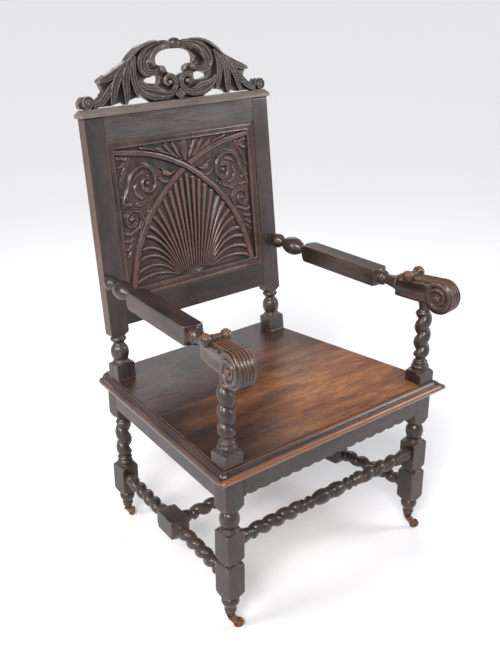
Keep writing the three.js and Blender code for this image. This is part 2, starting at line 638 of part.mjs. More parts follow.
// Five reeds that run forward from under the roll, spread, and wrap over the scroll to its underside
function handReeds() {
  const arcSteps = 5;
  const steps = arcSteps + 1;
  const g = new THREE.BoxGeometry(1, 1, 1, 10, 1, steps);
  const p = g.attributes.position;
  for (let i = 0; i < p.count; i++) {
    const line = Math.round((p.getX(i) + 0.5) * 10);
    const step = Math.round((p.getZ(i) + 0.5) * steps);
    const outside = p.getY(i) > 0;
    const hollow = line % 2 ? 0 : 3.5;
    if (step <= arcSteps) {
      const a = (208 + 242 * step / arcSteps) * Math.PI / 180;
      const r = outside ? EYE.r - hollow : 14;
      p.setXYZ(i, (line / 5 - 1) * HAND_W, -(EYE.s + r * Math.cos(a)), EYE.z + r * Math.sin(a));
    } else {
      const z = outside ? EYE.z + EYE.r - 4 - hollow * 0.8 : EYE.z + 14;
      p.setXYZ(i, (line / 5 - 1) * (HAND_W - 7), -(ROLL.s + 4), z);
    }
  }
  return toManifold(g);
}

function handRest() {
  const R = EYE.r - 13;
  const core = [[-82, HAND_UNDER], [12, HAND_UNDER]];
  for (let i = 0; i <= 3; i++) {
    const a = (205 + 245 * i / 3) * Math.PI / 180;
    core.push([EYE.s + R * Math.cos(a), EYE.z + R * Math.sin(a)]);
  }
  core.push([6, EYE.z + 32], [ROLL.s, EYE.z + 30], [-82, EYE.z + 30]);
  const parts = [upright(core, -HAND_W, HAND_W).rotate([0, 0, -90]), handReeds()];
  // Coiled band and eye on each cheek
  const coil = tapered(spiralLine(EYE.s - 1, EYE.z - 1, 33, 22, 1.3, -3.2, 4), 6, 4);
  const onCheek = ridge(coil, 22, 29).rotate([0, 0, -90]);
  parts.push(onCheek, mirrorX(onCheek));
  parts.push(turned([[11, -30], [11, 30]], 6).rotate([0, 90, 0]).translate([0, -(EYE.s - 3), EYE.z - 4]));
  // Rolled leaf end that lies across the rest, a ball at each side
  parts.push(turned([[8, -36], [ROLL.r, -25], [8, -12], [8, 12], [ROLL.r, 25], [8, 36]], 6)
    .rotate([0, 90, 0]).translate([0, -ROLL.s, ROLL.z]));
  return unite(parts).simplify(0.6);
}

{
  const from = [281, BACK_Y + (ARM_Z_BACK - SEAT_TOP) * Math.tan(RAKE) - 0.6, ARM_Z_BACK];
  const to = [304.5, -127, ARM_Z_FRONT];
  const L = dist(from, to);
  const rod = turned([
    [13, 0], [20, 12], [19, 29], [10.5, 40], [21.5, 58], [25.5, 79],
    [22, 99], [12, 118], [40, 151], [40, L - 11], [18, L], [20, L + 9], [14, L + 22], [19, L + 58],
  ], 7).intersect(bar(51, 46, 0, L + 60));
  // A level plane at the stile: the peg end is cut to the back's lean
  const straight = alongLine(rod, from, to);
  const turn = Math.atan2(24, 174);
  const hand = handRest().rotate([0, 0, turn * 180 / Math.PI]).translate([SUPPORT.x, SUPPORT.y, 0]);
  const clearTop = turned([[17.8, HAND_UNDER - 12], [17.8, HAND_UNDER]], 6)
    .translate([SUPPORT.x, SUPPORT.y, 0]);
  const stileCut = box(200, 340, 0, 60, -100, 500).rotate([-RAKE * 180 / Math.PI, 0, 0]).translate([0, BACK_Y - GAP, SEAT_TOP]);
  const arm = unite(straight, hand).subtract(clearTop).subtract(stileCut);
  piece(throne, 'arm_right', arm.simplify(0.05), oakDark('arm_right', 0x3a2d26));
  piece(throne, 'arm_left', mirrorX(arm.simplify(0.05)), oakDark('arm_left', 0x3a2d26));
}

// Casters

// Where each caster has swung to: direction of its trail in plan, degrees from +X
const CASTERS = [
  ['front_left', -FRONT_LEG.x, FRONT_LEG.y, FOOT_Z, -23],
  ['front_right', FRONT_LEG.x, FRONT_LEG.y, FOOT_Z, -33],
  ['rear_left', -REAR_LEG.x, REAR_LEG.y, FOOT_Z - 2, 28],
  ['rear_right', REAR_LEG.x, REAR_LEG.y, FOOT_Z - 2, 8],
];
for (const [place, x, y, top, deg] of CASTERS) {
  const group = new THREE.Group();
  group.position.set(x, y, 0);
  throne.add(group);
  // Fixed plate with its collar, screwed under the foot
  const plate = turned([[7, top - 9], [13, top - GAP - 2.5], [13, top - GAP]], 6);
  piece(group, `caster_plate_${place}`, plate, brass(`caster_plate_${place}`));
  // Swivelling horn: a cheek on each side of the wheel under a round crown
  const swivel = new THREE.Group();
  swivel.rotation.z = deg * Math.PI / 180;
  group.add(swivel);
  const crownTop = top - 9 - GAP;
  const cheek = [[-8, crownTop], [-8, crownTop - 5], [TRAIL - 6, WHEEL_R - 5], [TRAIL + 3, WHEEL_R - 5.5],
    [TRAIL + 6.5, WHEEL_R], [TRAIL + 4, WHEEL_R + 6], [8, crownTop]];
  const cheeks = upright(cheek, -8, 8);
  const slot = box(TRAIL - WHEEL_R - 2.2, TRAIL + WHEEL_R + 6, -5.4, 5.4, -5, WHEEL_R + WHEEL_R + 1.6);
  const pin = turned([[2.2, -7.5], [2.2, 7.5]], 6).rotate([90, 0, 0]).translate([TRAIL, 0, WHEEL_R]);
  const horn = cheeks.subtract(slot).add(pin);
  piece(swivel, `caster_horn_${place}`, horn, brass(`caster_horn_${place}`));
  const wheelGeometry = turned([[WHEEL_R, -WHEEL_W / 2], [WHEEL_R, WHEEL_W / 2]], 12)
    .subtract(turned([[3, -10], [3, 10]], 6)).rotate([90, 0, 0]);
  const wheel = piece(swivel, `caster_wheel_${place}`, wheelGeometry, brass(`caster_wheel_${place}`, 0x6e452c));
  wheel.position.set(TRAIL, 0, WHEEL_R);
}

// The middle of the chair's plan stands over the origin
throne.updateMatrixWorld(true);
const bounds = new THREE.Box3().setFromObject(throne, true);
throne.position.y = -Math.round((bounds.min.y + bounds.max.y) * 5) / 10;
throne.updateMatrixWorld(true);

export default throne;
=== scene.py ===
# %% [markdown]
# # A carved oak throne armchair
# The chair is a heavy hall chair in dark waxed oak: plank seat, twisted legs on small casters,
# a leaning back with a fan carved in its panel, and a pierced crest.
# The solids already stand where they belong, so this lesson only gives them their true surface:
# turned and twisted wood, carving, worn edges, wax and tarnish.

# %% Load the frame
import math

import bmesh
import bpy
import numpy as np
from mathutils import Matrix, Vector


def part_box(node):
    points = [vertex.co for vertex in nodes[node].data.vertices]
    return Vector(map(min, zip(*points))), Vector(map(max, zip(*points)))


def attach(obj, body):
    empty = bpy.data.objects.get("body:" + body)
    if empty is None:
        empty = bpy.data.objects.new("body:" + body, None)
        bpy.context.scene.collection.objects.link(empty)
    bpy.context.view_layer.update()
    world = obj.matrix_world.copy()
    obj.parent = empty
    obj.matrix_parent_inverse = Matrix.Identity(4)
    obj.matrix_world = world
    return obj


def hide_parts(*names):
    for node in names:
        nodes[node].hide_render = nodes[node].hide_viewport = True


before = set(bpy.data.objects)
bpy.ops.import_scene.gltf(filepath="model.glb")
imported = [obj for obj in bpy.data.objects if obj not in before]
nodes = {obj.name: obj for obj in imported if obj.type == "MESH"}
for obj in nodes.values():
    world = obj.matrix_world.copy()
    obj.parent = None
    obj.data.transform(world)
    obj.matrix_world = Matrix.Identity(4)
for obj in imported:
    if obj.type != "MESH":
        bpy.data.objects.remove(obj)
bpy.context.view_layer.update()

# %% [markdown]
# The chair's own measures are in millimetres, with y = 0 at the middle of the seat.
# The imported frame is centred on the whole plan, back and hand rests included, so it sits a little
# further forward. The front leg shows by how much, and every point is moved by the same step.

# %% Measures shared by all pieces
MM = 0.001
GAP = 0.3
FRONT_LEG = (320.7, -263.0)
REAR_LEG = (257.0, 285.5)
low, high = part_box("front_leg_left")
SHIFT_Y = (low.y + high.y) / 2 - FRONT_LEG[1] * MM
SEAT_TOP = 465.0
BACK_Y = 241.5
RAKE = math.radians(6.61)
POST_X = 264.2
POST_V = 14.75
ARM_SUPPORT = (324.0, -262.0)
FRAME_TOP = 442.7
print("frame is shifted by", round(SHIFT_Y * 1000, 1), "mm")


def placed(points):
    """Chair millimetres to frame metres."""
    p = np.array(points, float) * MM
    p[..., 1] += SHIFT_Y
    return p


def on_back(points):
    """(x, v, u) on the leaning back, v behind its front face and u up its slope, to chair millimetres."""
    p = np.array(points, float)
    x, v, u = p[..., 0], p[..., 1], p[..., 2]
    y = BACK_Y + v * math.cos(RAKE) + u * math.sin(RAKE)
    z = SEAT_TOP + u * math.cos(RAKE) - v * math.sin(RAKE)
    return np.stack([x, y, z], -1)


# %% [markdown]
# A skin of points in rows and columns is the plainest mesh there is, and most of a turned chair can be
# written as one: columns go round the wood and rows go along it. The helper joins the rows with
# quads and closes both ends, so every piece is one closed body like the real length of wood.

# %% Meshes from rows of points
def new_piece(name, points, faces, smooth=True):
    mesh = bpy.data.meshes.new(name)
    mesh.from_pydata(np.asarray(points).reshape(-1, 3).tolist(), [], faces)
    mesh.validate()
    mesh.update()
    if smooth:
        mesh.shade_smooth()
    obj = bpy.data.objects.new(name, mesh)
    bpy.context.scene.collection.objects.link(obj)
    return obj


def ring_faces(rows, columns):
    """Quads of a tube of rows rings, with a fan of triangles over each end."""
    r, c = np.meshgrid(np.arange(rows - 1), np.arange(columns), indexing="ij")
    a = r * columns + c
    b = r * columns + (c + 1) % columns
    quads = np.stack([a, b, b + columns, a + columns], -1).reshape(-1, 4).tolist()
    low_end = rows * columns
    high_end = low_end + 1
    last = (rows - 1) * columns
    caps = [[low_end, (i + 1) % columns, i] for i in range(columns)]
    caps += [[high_end, last + i, last + (i + 1) % columns] for i in range(columns)]
    return quads + caps


def tube_points(rings):
    """Rings of points and the middle of each end."""
    flat = rings.reshape(-1, 3)
    return np.vstack([flat, rings[0].mean(0), rings[-1].mean(0)])

def tube(name, rings):
    """A piece from rings of points in chair millimetres, closed at both ends."""
    return new_piece(name, placed(tube_points(rings)), ring_faces(*rings.shape[:2]))


def face_outwards(obj):
    """Turns every face of a closed mesh so that it looks outwards."""
    skin = bmesh.new()
    skin.from_mesh(obj.data)
    bmesh.ops.recalc_face_normals(skin, faces=skin.faces)
    skin.to_mesh(obj.data)
    skin.free()


def dress(obj, node, finish, body="chair"):
    """Puts a piece in the place of a solid, on the solid's body, with its finish."""
    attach(obj, body)
    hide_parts(node)
    obj.data.materials.append(finish)


print("two rings of 8 points close with", len(ring_faces(2, 8)), "faces")

# %% [markdown]
# Wax and hands change old oak in the same way everywhere: proud edges are rubbed brown and shiny.
# Hollows are painted black, partly for old wax and dust and partly as painted shade. The Laplacian of a mesh
# says which is which, because a point on an edge stands out from the average of its neighbours.
# It is kept on the mesh as an attribute for the finish to read.

# %% Wear and painted shade from the shape
NARROW_SCALE, BROAD_SCALE = 3.2 * MM, 1.1 * MM


def mesh_values(source, name, kind=float, width=3):
    """One value of every vertex or edge of a mesh, as rows of an array."""
    values = np.empty(len(source) * width, kind)
    source.foreach_get(name, values)
    return values.reshape(-1, width)


def weather_and_shade(obj, spread=2, gain=1.0, broad=False):
    """Stores an attribute: about 0 on flats, up to 1 on proud edges, where the finish paints rubbed wear, down
    to -1 in hollows, where it paints them dark, partly as dirt and partly as painted shade. broad compares each
    point with a wider patch round it, for carving."""
    mesh = obj.data
    n = len(mesh.vertices)
    co = mesh_values(mesh.vertices, "co")
    normal = mesh_values(mesh.vertices, "normal")
    a, b = mesh_values(mesh.edges, "vertices", int, 2).T
    count = np.maximum(np.bincount(a, minlength=n) + np.bincount(b, minlength=n), 1)

    def sum_round(values, weight=1.0):
        return np.bincount(a, weight * values[b], n) + np.bincount(b, weight * values[a], n)

    if broad:
        patch = co
        for _ in range(spread):
            patch = np.stack([sum_round(patch[:, k]) / count for k in range(3)], -1)
        out = ((co - patch) * normal).sum(1) / BROAD_SCALE
    else:
        near = 1 / np.maximum(np.linalg.norm(co[a] - co[b], axis=1), 1e-5)
        total = sum_round(np.ones(n), near) + 1e-9
        middle = np.stack([sum_round(co[:, k], near) for k in range(3)], -1) / total[:, None]
        out = ((co - middle) * normal).sum(1) * (total / count) ** 2 * NARROW_SCALE
        for _ in range(spread):
            out = 0.5 * out + 0.5 * sum_round(out) / count
    store_wear_and_shade(obj, np.clip(out * gain, -1, 1))


def store_wear_and_shade(obj, values):
    attribute = obj.data.attributes.new("wear_and_shade", "FLOAT", "POINT")
    attribute.data.foreach_set("value", np.asarray(values, np.float32))


print("full wear at a rise of", round(BROAD_SCALE / MM, 1), "mm over a carving's wider patch")

# %% [markdown]
# A turned length of wood starts as a square bar. Where the gouge went in, its section is a circle, and
# where it did not, the square is left, so the radius in any direction is the smaller of the two.
# That one rule also draws the rounded shoulder where square meets round, just as the lathe does.
# A barley twist is the same bar with one rib wound round it and a tight groove between its turns.

# %% Turned and squared lengths
def smooth_profile(stations, rounds=2):
    """Cuts the corners off a line of (height, radius) stations, so beads and hollows are round."""
    p = np.array(stations, float)
    for _ in range(rounds):
        q = 0.75 * p[:-1] + 0.25 * p[1:]
        r = 0.25 * p[:-1] + 0.75 * p[1:]
        p = np.vstack([p[:1], np.stack([q, r], 1).reshape(-1, 2), p[-1:]])
    return p


def square_reach(angle, half_x, half_y, sharp=34):
    """Distance from the middle of a bar to its side, with its arrises a little rounded."""
    across, deep = np.abs(np.cos(angle)) / half_x, np.abs(np.sin(angle)) / half_y
    return (across ** sharp + deep ** sharp) ** (-1 / sharp)


def rib_height(angle):
    """Section of the twist: 1 on the rib's crest, 0 in the groove behind it."""
    return np.abs(np.cos(angle / 2)) ** 0.7


def ring_heights(line, squares, twists, step):
    """Heights of the rings: every station of the line, and steps that are close enough for a twist."""
    start, end = line[0, 0], line[-1, 0]
    heights = [start, end, *line[:, 0], *np.arange(start, end, 9.0)]
    for lo, hi, *_ in twists:
        heights += list(np.arange(lo, hi, step))
    for lo, hi, *_ in squares:
        heights += [lo, hi]
    heights = np.unique(np.round(heights, 2))
    return heights[np.concatenate([[True], np.diff(heights) > 0.4])]


def ring_angles(squares, columns):
    """Angles of a ring's points, closer together at the corners of its squares."""
    angles = list(np.linspace(0, 2 * np.pi, columns, endpoint=False))
    for hx, hy in {(s[2], s[3]) for s in squares}:
        corner = math.atan2(hy, hx)
        for c in (corner, np.pi - corner, np.pi + corner, 2 * np.pi - corner):
            angles += [c, c - 0.03, c + 0.03, c - 0.09, c + 0.09]
    return np.unique(np.round(np.mod(angles, 2 * np.pi), 3))


def length_of_wood(profile, squares=(), twists=(), columns=56, step=2.0):
    """Rings of a turned length. profile: (height, radius) stations; squares: (from, to, half x, half y);
    twists: (from, to, crest radius, groove radius, pitch, hand, phase)."""
    line = smooth_profile(profile)
    angle, height = np.meshgrid(ring_angles(squares, columns), ring_heights(line, squares, twists, step))
    reach = np.interp(height, line[:, 0], line[:, 1])
    for lo, hi, crest, groove, pitch, hand, phase in twists:
        inside = (height >= lo) & (height <= hi)
        fade = np.clip(np.minimum(height - lo, hi - height) / (pitch * 0.22), 0, 1)
        fade = fade * fade * (3 - 2 * fade)
        turn = angle - hand * (height - lo) / pitch * 2 * np.pi - phase
        rib = groove + (crest - groove) * rib_height(turn) * (0.25 + 0.75 * fade)
        reach = np.where(inside, rib, reach)
    for lo, hi, hx, hy in squares:
        inside = (height >= lo - 0.01) & (height <= hi + 0.01)
        reach = np.where(inside, np.minimum(reach, square_reach(angle, hx, hy)), reach)
    return np.stack([reach * np.cos(angle), reach * np.sin(angle), height], -1)


def laid_along(rings, start, end):
    """Turns rings made along +Z to run from start to end, keeping square faces level."""
    start, end = np.array(start, float), np.array(end, float)
    z = (end - start) / np.linalg.norm(end - start)
    x = np.cross([0, 0, 1.0], z)
    x /= np.linalg.norm(x)
    y = np.cross(z, x)
    return start + rings[..., :1] * x + rings[..., 1:2] * y + rings[..., 2:] * z

print("a rib is full at its crest and", round(float(rib_height(math.pi / 2)), 2), "high half way down")

# %% Placing a length of wood
def stood_at(rings, x, y):
    """A length of wood that stands upright at a place of the plan."""
    return rings + np.array([x, y, 0])


def mirrored(rings):
    """The same length of wood for the other side of the chair, faces still outwards."""
    return (rings * np.array([-1.0, 1.0, 1.0]))[:, ::-1]


def wooden(name, rings, node, finish):
    """A length of wood from its rings, in the place of a node of the frame."""
    obj = tube(name, rings)
    weather_and_shade(obj)
    dress(obj, node, finish)
    print(name, len(obj.data.polygons), "faces")
    return obj


SIDES = (("left", -1), ("right", 1))
print("sides", SIDES)

# %% [markdown]
# The finish is three layers. First the oak itself: long fibres and short open pores that run with the
# grain. Over it a near-black stain that was put on everywhere. Last, what years did: brown where it is
# rubbed, and a wax polish whose sheen changes from place to place. The hollows are painted black, partly
# old dirt and partly painted shade, and faces that look up a paler grey, partly dust and partly a painted
# sheen of the light from above.
# All three are made from noise stretched along the grain, in the frame's own coordinates.

# %% Words for a finish
class Recipe:
    """A new material with short words for the nodes that its finish is made of."""

    def __init__(self, name):
        self.material = bpy.data.materials.new(name)
        self.material.use_nodes = True
        self.tree = self.material.node_tree
        self.shader = self.tree.nodes["Principled BSDF"].inputs
        self.place = self.add("ShaderNodeTexCoord").outputs["Object"]

    def add(self, kind, **settings):
        made = self.tree.nodes.new(kind)
        for key, value in settings.items():
            setattr(made, key, value)
        return made

    def feed(self, socket, value):
        """Links a socket to a node's result, or sets it to a plain number or colour."""
        if isinstance(value, bpy.types.NodeSocket):
            self.tree.links.new(value, socket)
        elif isinstance(value, tuple) and len(socket.default_value) == 4:
            socket.default_value = (*value, 1)
        else:
            socket.default_value = value

    def reckon(self, operation, a, b):
        made = self.add("ShaderNodeMath", operation=operation)
        self.feed(made.inputs[0], a)
        self.feed(made.inputs[1], b)
        return made.outputs[0]

    def plus(self, a, b):
        return self.reckon("ADD", a, b)

    def less(self, a, b):
        return self.reckon("SUBTRACT", a, b)

    def times(self, a, b):
        return self.reckon("MULTIPLY", a, b)

    def mix(self, factor, a, b):
        made = self.add("ShaderNodeMix", data_type="RGBA")
        for index, value in ((0, factor), (6, a), (7, b)):
            self.feed(made.inputs[index], value)
        return made.outputs[2]

    def ramp(self, source, *stops):
        """A colour ramp fed by a value; stops are (position, grey or colour)."""
        made = self.add("ShaderNodeValToRGB")
        elements = made.color_ramp.elements
        while len(elements) < len(stops):
            elements.new(0.5)
        for element, (position, value) in zip(elements, stops):
            element.position = position
            element.color = (*value, 1) if isinstance(value, tuple) else (value, value, value, 1)
        self.feed(made.inputs["Fac"], source)
        return made.outputs["Color"]

    def noise(self, stretch, scale, detail, roughness):
        mapping = self.add("ShaderNodeMapping")
        self.feed(mapping.inputs["Scale"], stretch)
        self.feed(mapping.inputs["Vector"], self.place)
        made = self.add("ShaderNodeTexNoise")
        self.feed(made.inputs["Scale"], scale)
        self.feed(made.inputs["Detail"], detail)
        self.feed(made.inputs["Roughness"], roughness)
        self.feed(made.inputs["Vector"], mapping.outputs["Vector"])
        return made.outputs["Fac"]

    def bump(self, height, strength, distance):
        made = self.add("ShaderNodeBump")
        self.feed(made.inputs["Strength"], strength)
        self.feed(made.inputs["Distance"], distance)
        self.feed(made.inputs["Height"], height)
        self.feed(self.shader["Normal"], made.outputs["Normal"])


def stretched(grain, along, across=1.0):
    """Scale of a noise that is drawn out along the grain."""
    return tuple(along if axis == grain else across for axis in "xyz")


FIBRE = 0.06
print("fibres are drawn out", round(1 / FIBRE, 1), "times")

# %% Oak finish
def oak_finish(name, grain, stain=(0.0115, 0.0075, 0.0070), brown=(0.070, 0.032, 0.022),
               rubbed=(0.27, 0.115, 0.055), rub=1.0, gloss=0.34, dust_and_sheen=0.2, from_above=0.0):
    """Dark waxed oak with its grain along one axis. rub says how much its proud parts are rubbed, and
    from_above how much of that rubbing is on faces that look up. The last weight sets how much paler grey
    the faces that look up get, partly dust and partly a painted sheen of the light from above."""
    r = Recipe(name)
    fibres = r.noise(stretched(grain, FIBRE), 420, 5, 0.7)
    figure = r.noise(stretched(grain, 4 * FIBRE), 26, 5, 0.62)
    clouds = r.noise((1, 1, 1), 9, 3, 0.55)
    pore_lines = r.noise(stretched(grain, 0.6 * FIBRE, 1.6), 520, 2, 0.5)
    # The stain lies thicker in some places than in others
    tone = r.ramp(r.times(figure, r.plus(fibres, 0.45)), (0.36, 0.0), (0.66, 1.0))
    body = r.mix(r.times(tone, 0.6), stain, brown)
    # Proud parts are rubbed through to brown, with a ragged edge
    wear_and_shade = r.add("ShaderNodeAttribute", attribute_name="wear_and_shade").outputs["Fac"]
    ragged = r.plus(wear_and_shade, r.times(r.less(clouds, 0.5), 0.55))
    facing = r.add("ShaderNodeSeparateXYZ")
    r.feed(facing.inputs[0], r.add("ShaderNodeNewGeometry").outputs["Normal"])
    looks_up = r.reckon("MAXIMUM", facing.outputs["Z"], 0.0)
    rub_here = r.plus(r.times(looks_up, rub * from_above), rub * (1 - from_above))
    rub_mask = r.ramp(r.times(ragged, rub_here), (0.14, 0.0), (0.62, 1.0))
    body = r.mix(r.times(rub_mask, 0.62), body, rubbed)
    # Hollows are painted nearly black, partly old wax and dust and partly painted shade; the pores are nearly
    # black too
    hollow = r.ramp(r.times(wear_and_shade, -1.0), (0.08, 0.0), (0.6, 1.0))
    body = r.mix(r.times(hollow, 0.75), body, (0.006, 0.0045, 0.004))
    pores = r.ramp(pore_lines, (0.56, 0.0), (0.66, 1.0))
    body = r.mix(r.times(pores, 0.55), body, (0.005, 0.004, 0.0035))
    # Faces that look up are painted a paler grey: partly dull old wax and dust, partly a painted sheen of the
    # light from above
    body = r.mix(r.times(r.times(looks_up, r.plus(clouds, 0.1)), dust_and_sheen), body, (0.215, 0.165, 0.145))
    r.feed(r.shader["Base Color"], body)
    sheen = r.plus(r.plus(gloss, r.times(clouds, 0.22)), r.times(hollow, 0.25))
    r.feed(r.shader["Roughness"], r.less(sheen, r.times(rub_mask, 0.09)))
    r.feed(r.shader["Specular IOR Level"], 0.36)
    r.feed(r.shader["Coat Weight"], 0.5)
    r.feed(r.shader["Coat Roughness"], 0.13)
    relief = r.less(r.times(fibres, 0.5), r.times(pores, 0.8))
    r.bump(r.plus(relief, r.times(clouds, 0.9)), 0.32, 0.0006)
    return r.material


# %% Oak of each part
oak_up = oak_finish("oak_grain_up", "z")
oak_across = oak_finish("oak_grain_across", "x")
oak_deep = oak_finish("oak_grain_deep", "y")
oak_arm = oak_finish("oak_arm", "y", brown=(0.115, 0.05, 0.03), rubbed=(0.38, 0.15, 0.062),
                     rub=1.5, gloss=0.24, dust_and_sheen=0.1, from_above=0.62)
oak_carved = oak_finish("oak_carved", "z", brown=(0.15, 0.068, 0.05), rubbed=(0.20, 0.10, 0.072),
                        rub=0.85, gloss=0.2)
# The crest is painted greyer than the other oak: its rubbed colour on proud carving is partly wear and partly a
# painted grey highlight
oak_crest = oak_finish("oak_crest", "x", brown=(0.085, 0.063, 0.054), rubbed=(0.30, 0.215, 0.18),
                       rub=0.8, gloss=0.26)
# The posts' stain and brown are lighter and greyer than the other oak's: a painted sheen on the stiles; their
# rubbed colour is wear
oak_post = oak_finish("oak_post", "z", stain=(0.024, 0.018, 0.0165), brown=(0.095, 0.060, 0.048),
                      rubbed=(0.20, 0.082, 0.047), gloss=0.3)
# The top rail's stain and brown are lighter and greyer than the other rails': a painted sheen
oak_rail_top = oak_finish("oak_rail_top", "x", stain=(0.046, 0.038, 0.035), brown=(0.15, 0.122, 0.11),
                          gloss=0.28)
# The capping is painted pale grey-brown: partly dust on its top slope, partly a painted sheen of the light from
# above
oak_cap = oak_finish("oak_cap", "x", stain=(0.11, 0.085, 0.075), brown=(0.30, 0.225, 0.19),
                     rubbed=(0.34, 0.21, 0.14), gloss=0.3)
print("oak finishes", len(bpy.data.materials))

# %% [markdown]
# The front legs are square where the stretchers enter and turned between. Each has a block under the
# seat, a ball, two blocks and a bulb down to the caster. One profile line holds the whole leg.

# %% Front legs
LEG_HALF, LEG_TOP_X, LEG_TOP_Y = 25, 27, 22
FRONT_LEG_LINE = [
    (50, 11), (52, 11), (57, 15.3), (63, 15), (66, 13.2), (70, 14), (77, 19.5), (86, 22.6), (95, 20.5),
    (99, 16.5), (101, 18), (103, 24), (109, 32), (116, 40), (118, 48), (184, 48), (186, 40), (191, 33),
    (195, 26), (198, 20.5), (201, 20.5), (204, 25), (209, 33), (217, 40), (220, 48), (279, 48), (281, 40),
    (284, 30), (286, 23), (291, 22.5), (293, 18), (295, 17.5), (298, 19), (305, 22.6), (316, 24.2),
    (327, 22.4), (334, 18.5), (337, 16.2), (340, 17.5), (343, 24), (349, 30), (356, 38), (358, 48),
    (FRAME_TOP, 48)]
FRONT_LEG_SQUARES = [(50, 339, LEG_HALF, LEG_HALF), (339, FRAME_TOP, LEG_TOP_X, LEG_TOP_Y)]
for side, sign in SIDES:
    rings = length_of_wood(FRONT_LEG_LINE, FRONT_LEG_SQUARES)
    rings = stood_at(rings, sign * FRONT_LEG[0], FRONT_LEG[1])
    wooden(f"leg_front_{side}", rings, f"front_leg_{side}", oak_up)

# %% [markdown]
# The rear legs carry a barley twist between two blocks. Left and right are wound opposite ways, as a
# pair is always cut, and the right one starts half a turn later, so they mirror each other.

# %% Rear legs
def paired_twist(start, end, crest, groove, pitch, sign, phase):
    """The twist of one leg or support of a pair."""
    return (start, end, crest, groove, pitch, sign, phase + (math.pi if sign > 0 else 0))


REAR_LEG_LINE = [
    (48, 11), (50, 11), (55, 15.2), (60, 15), (63, 13.2), (66, 14), (72, 18.5), (80, 21.5), (89, 19.5),
    (93, 16), (95, 17.5), (97, 23), (103, 32), (109, 40), (111, 48), (174, 48), (176, 40), (181, 33),
    (185, 25), (188, 20), (190, 19.8), (194, 21.5), (198, 20), (201, 16.8), (203, 17), (207, 20.5),
    (210, 19), (213, 15), (216, 13.5), (325, 13.5), (329, 15), (333, 19), (337, 20.5), (341, 27), (348, 34),
    (354, 41), (356, 48), (FRAME_TOP, 48)]
REAR_LEG_SQUARES = [(48, 230, LEG_HALF, LEG_HALF), (330, FRAME_TOP, LEG_TOP_X, LEG_TOP_Y)]
for side, sign in SIDES:
    twist = paired_twist(214, 328, 22, 12, 48, sign, -0.6)
    rings = length_of_wood(REAR_LEG_LINE, REAR_LEG_SQUARES, [twist])
    rings = stood_at(rings, sign * REAR_LEG[0], REAR_LEG[1])
    wooden(f"leg_rear_{side}", rings, f"rear_leg_{side}", oak_up)

# %% [markdown]
# Four stretchers tie the legs together. The front one stands high with a double vase at its middle;
# the two side ones have a square block, and the cross stretcher joins those blocks. All are the same
# from both ends, so half a line is listed and the other half is the same numbers turned round, and
# the two twists of each are wound opposite ways.

# %% Front stretcher
FRONT_HALF = FRONT_LEG[0] - LEG_HALF - GAP
FRONT_STRETCHER_Z = 250


def both_halves(line):
    """A line of stations up to its middle, and back from it."""
    return line + [(-h, r) for h, r in line[-2::-1]]


def two_twists(start, end, middle_start, middle_end):
    """A twist on each side of the middle of a stretcher, wound opposite ways."""
    return [(start, middle_start, 18.8, 10, 42, 1, math.pi), (middle_end, end, 18.8, 10, 42, -1, math.pi)]


front_line = both_halves([
    (-FRONT_HALF, 18.5), (-287, 18.6), (-279, 17.6), (-270, 15), (-264, 14.4), (-261, 12), (-96, 12),
    (-93, 14.5), (-89, 16.8), (-85, 14.5), (-82, 11), (-79, 10.8), (-75, 13), (-67, 17.8), (-60, 14),
    (-56, 11.2), (-53, 11.4), (-44, 16.4), (-32, 19), (-20, 19.6), (-11, 17.6), (-7, 14.4), (-5, 14.6),
    (0, 16.9)])
rings = length_of_wood(front_line, (), two_twists(-263, 263, -94, 94), columns=48)
rings = laid_along(rings, (0, FRONT_LEG[1], FRONT_STRETCHER_Z), (1, FRONT_LEG[1], FRONT_STRETCHER_Z))
wooden("stretcher_front", rings, "front_stretcher", oak_across)

# %% Side stretchers
SIDE_Z, BLOCK_Y, BLOCK_HALF = 146, 12, 26
leg_to_leg = np.array(REAR_LEG) - np.array(FRONT_LEG)
side_way = leg_to_leg / np.linalg.norm(leg_to_leg)
side_start = (LEG_HALF + GAP) / side_way[1] + 1.7
side_full = np.linalg.norm(leg_to_leg) - 2 * side_start
side_mid = (BLOCK_Y - FRONT_LEG[1]) / side_way[1] - side_start
SIDE_END = [(0, 17), (6, 17.6), (11, 16.8), (16, 14.6), (18, 12)]
BLOCK_END = [(48, 12), (46, 18), (44, 20), (38, 29), (34, 38), (32, 50)]
side_line = SIDE_END + [(side_mid - h, r) for h, r in BLOCK_END]
side_line += [(side_mid + h, r) for h, r in BLOCK_END[::-1]] + [(side_full - h, r) for h, r in SIDE_END[::-1]]
side_twists = two_twists(16, side_full - 16, side_mid - 46, side_mid + 46)
side_block = [(side_mid - 46, side_mid + 46, BLOCK_HALF, BLOCK_HALF)]
rings = length_of_wood(side_line, side_block, side_twists, columns=44, step=1.8)
first = (*(np.array(FRONT_LEG) + side_way * side_start), SIDE_Z)
rings = laid_along(rings, first, (*REAR_LEG, SIDE_Z))
wooden("stretcher_side_left", mirrored(rings), "side_stretcher_left", oak_deep)
wooden("stretcher_side_right", rings, "side_stretcher_right", oak_deep)
print("side stretcher length", round(side_full, 1))

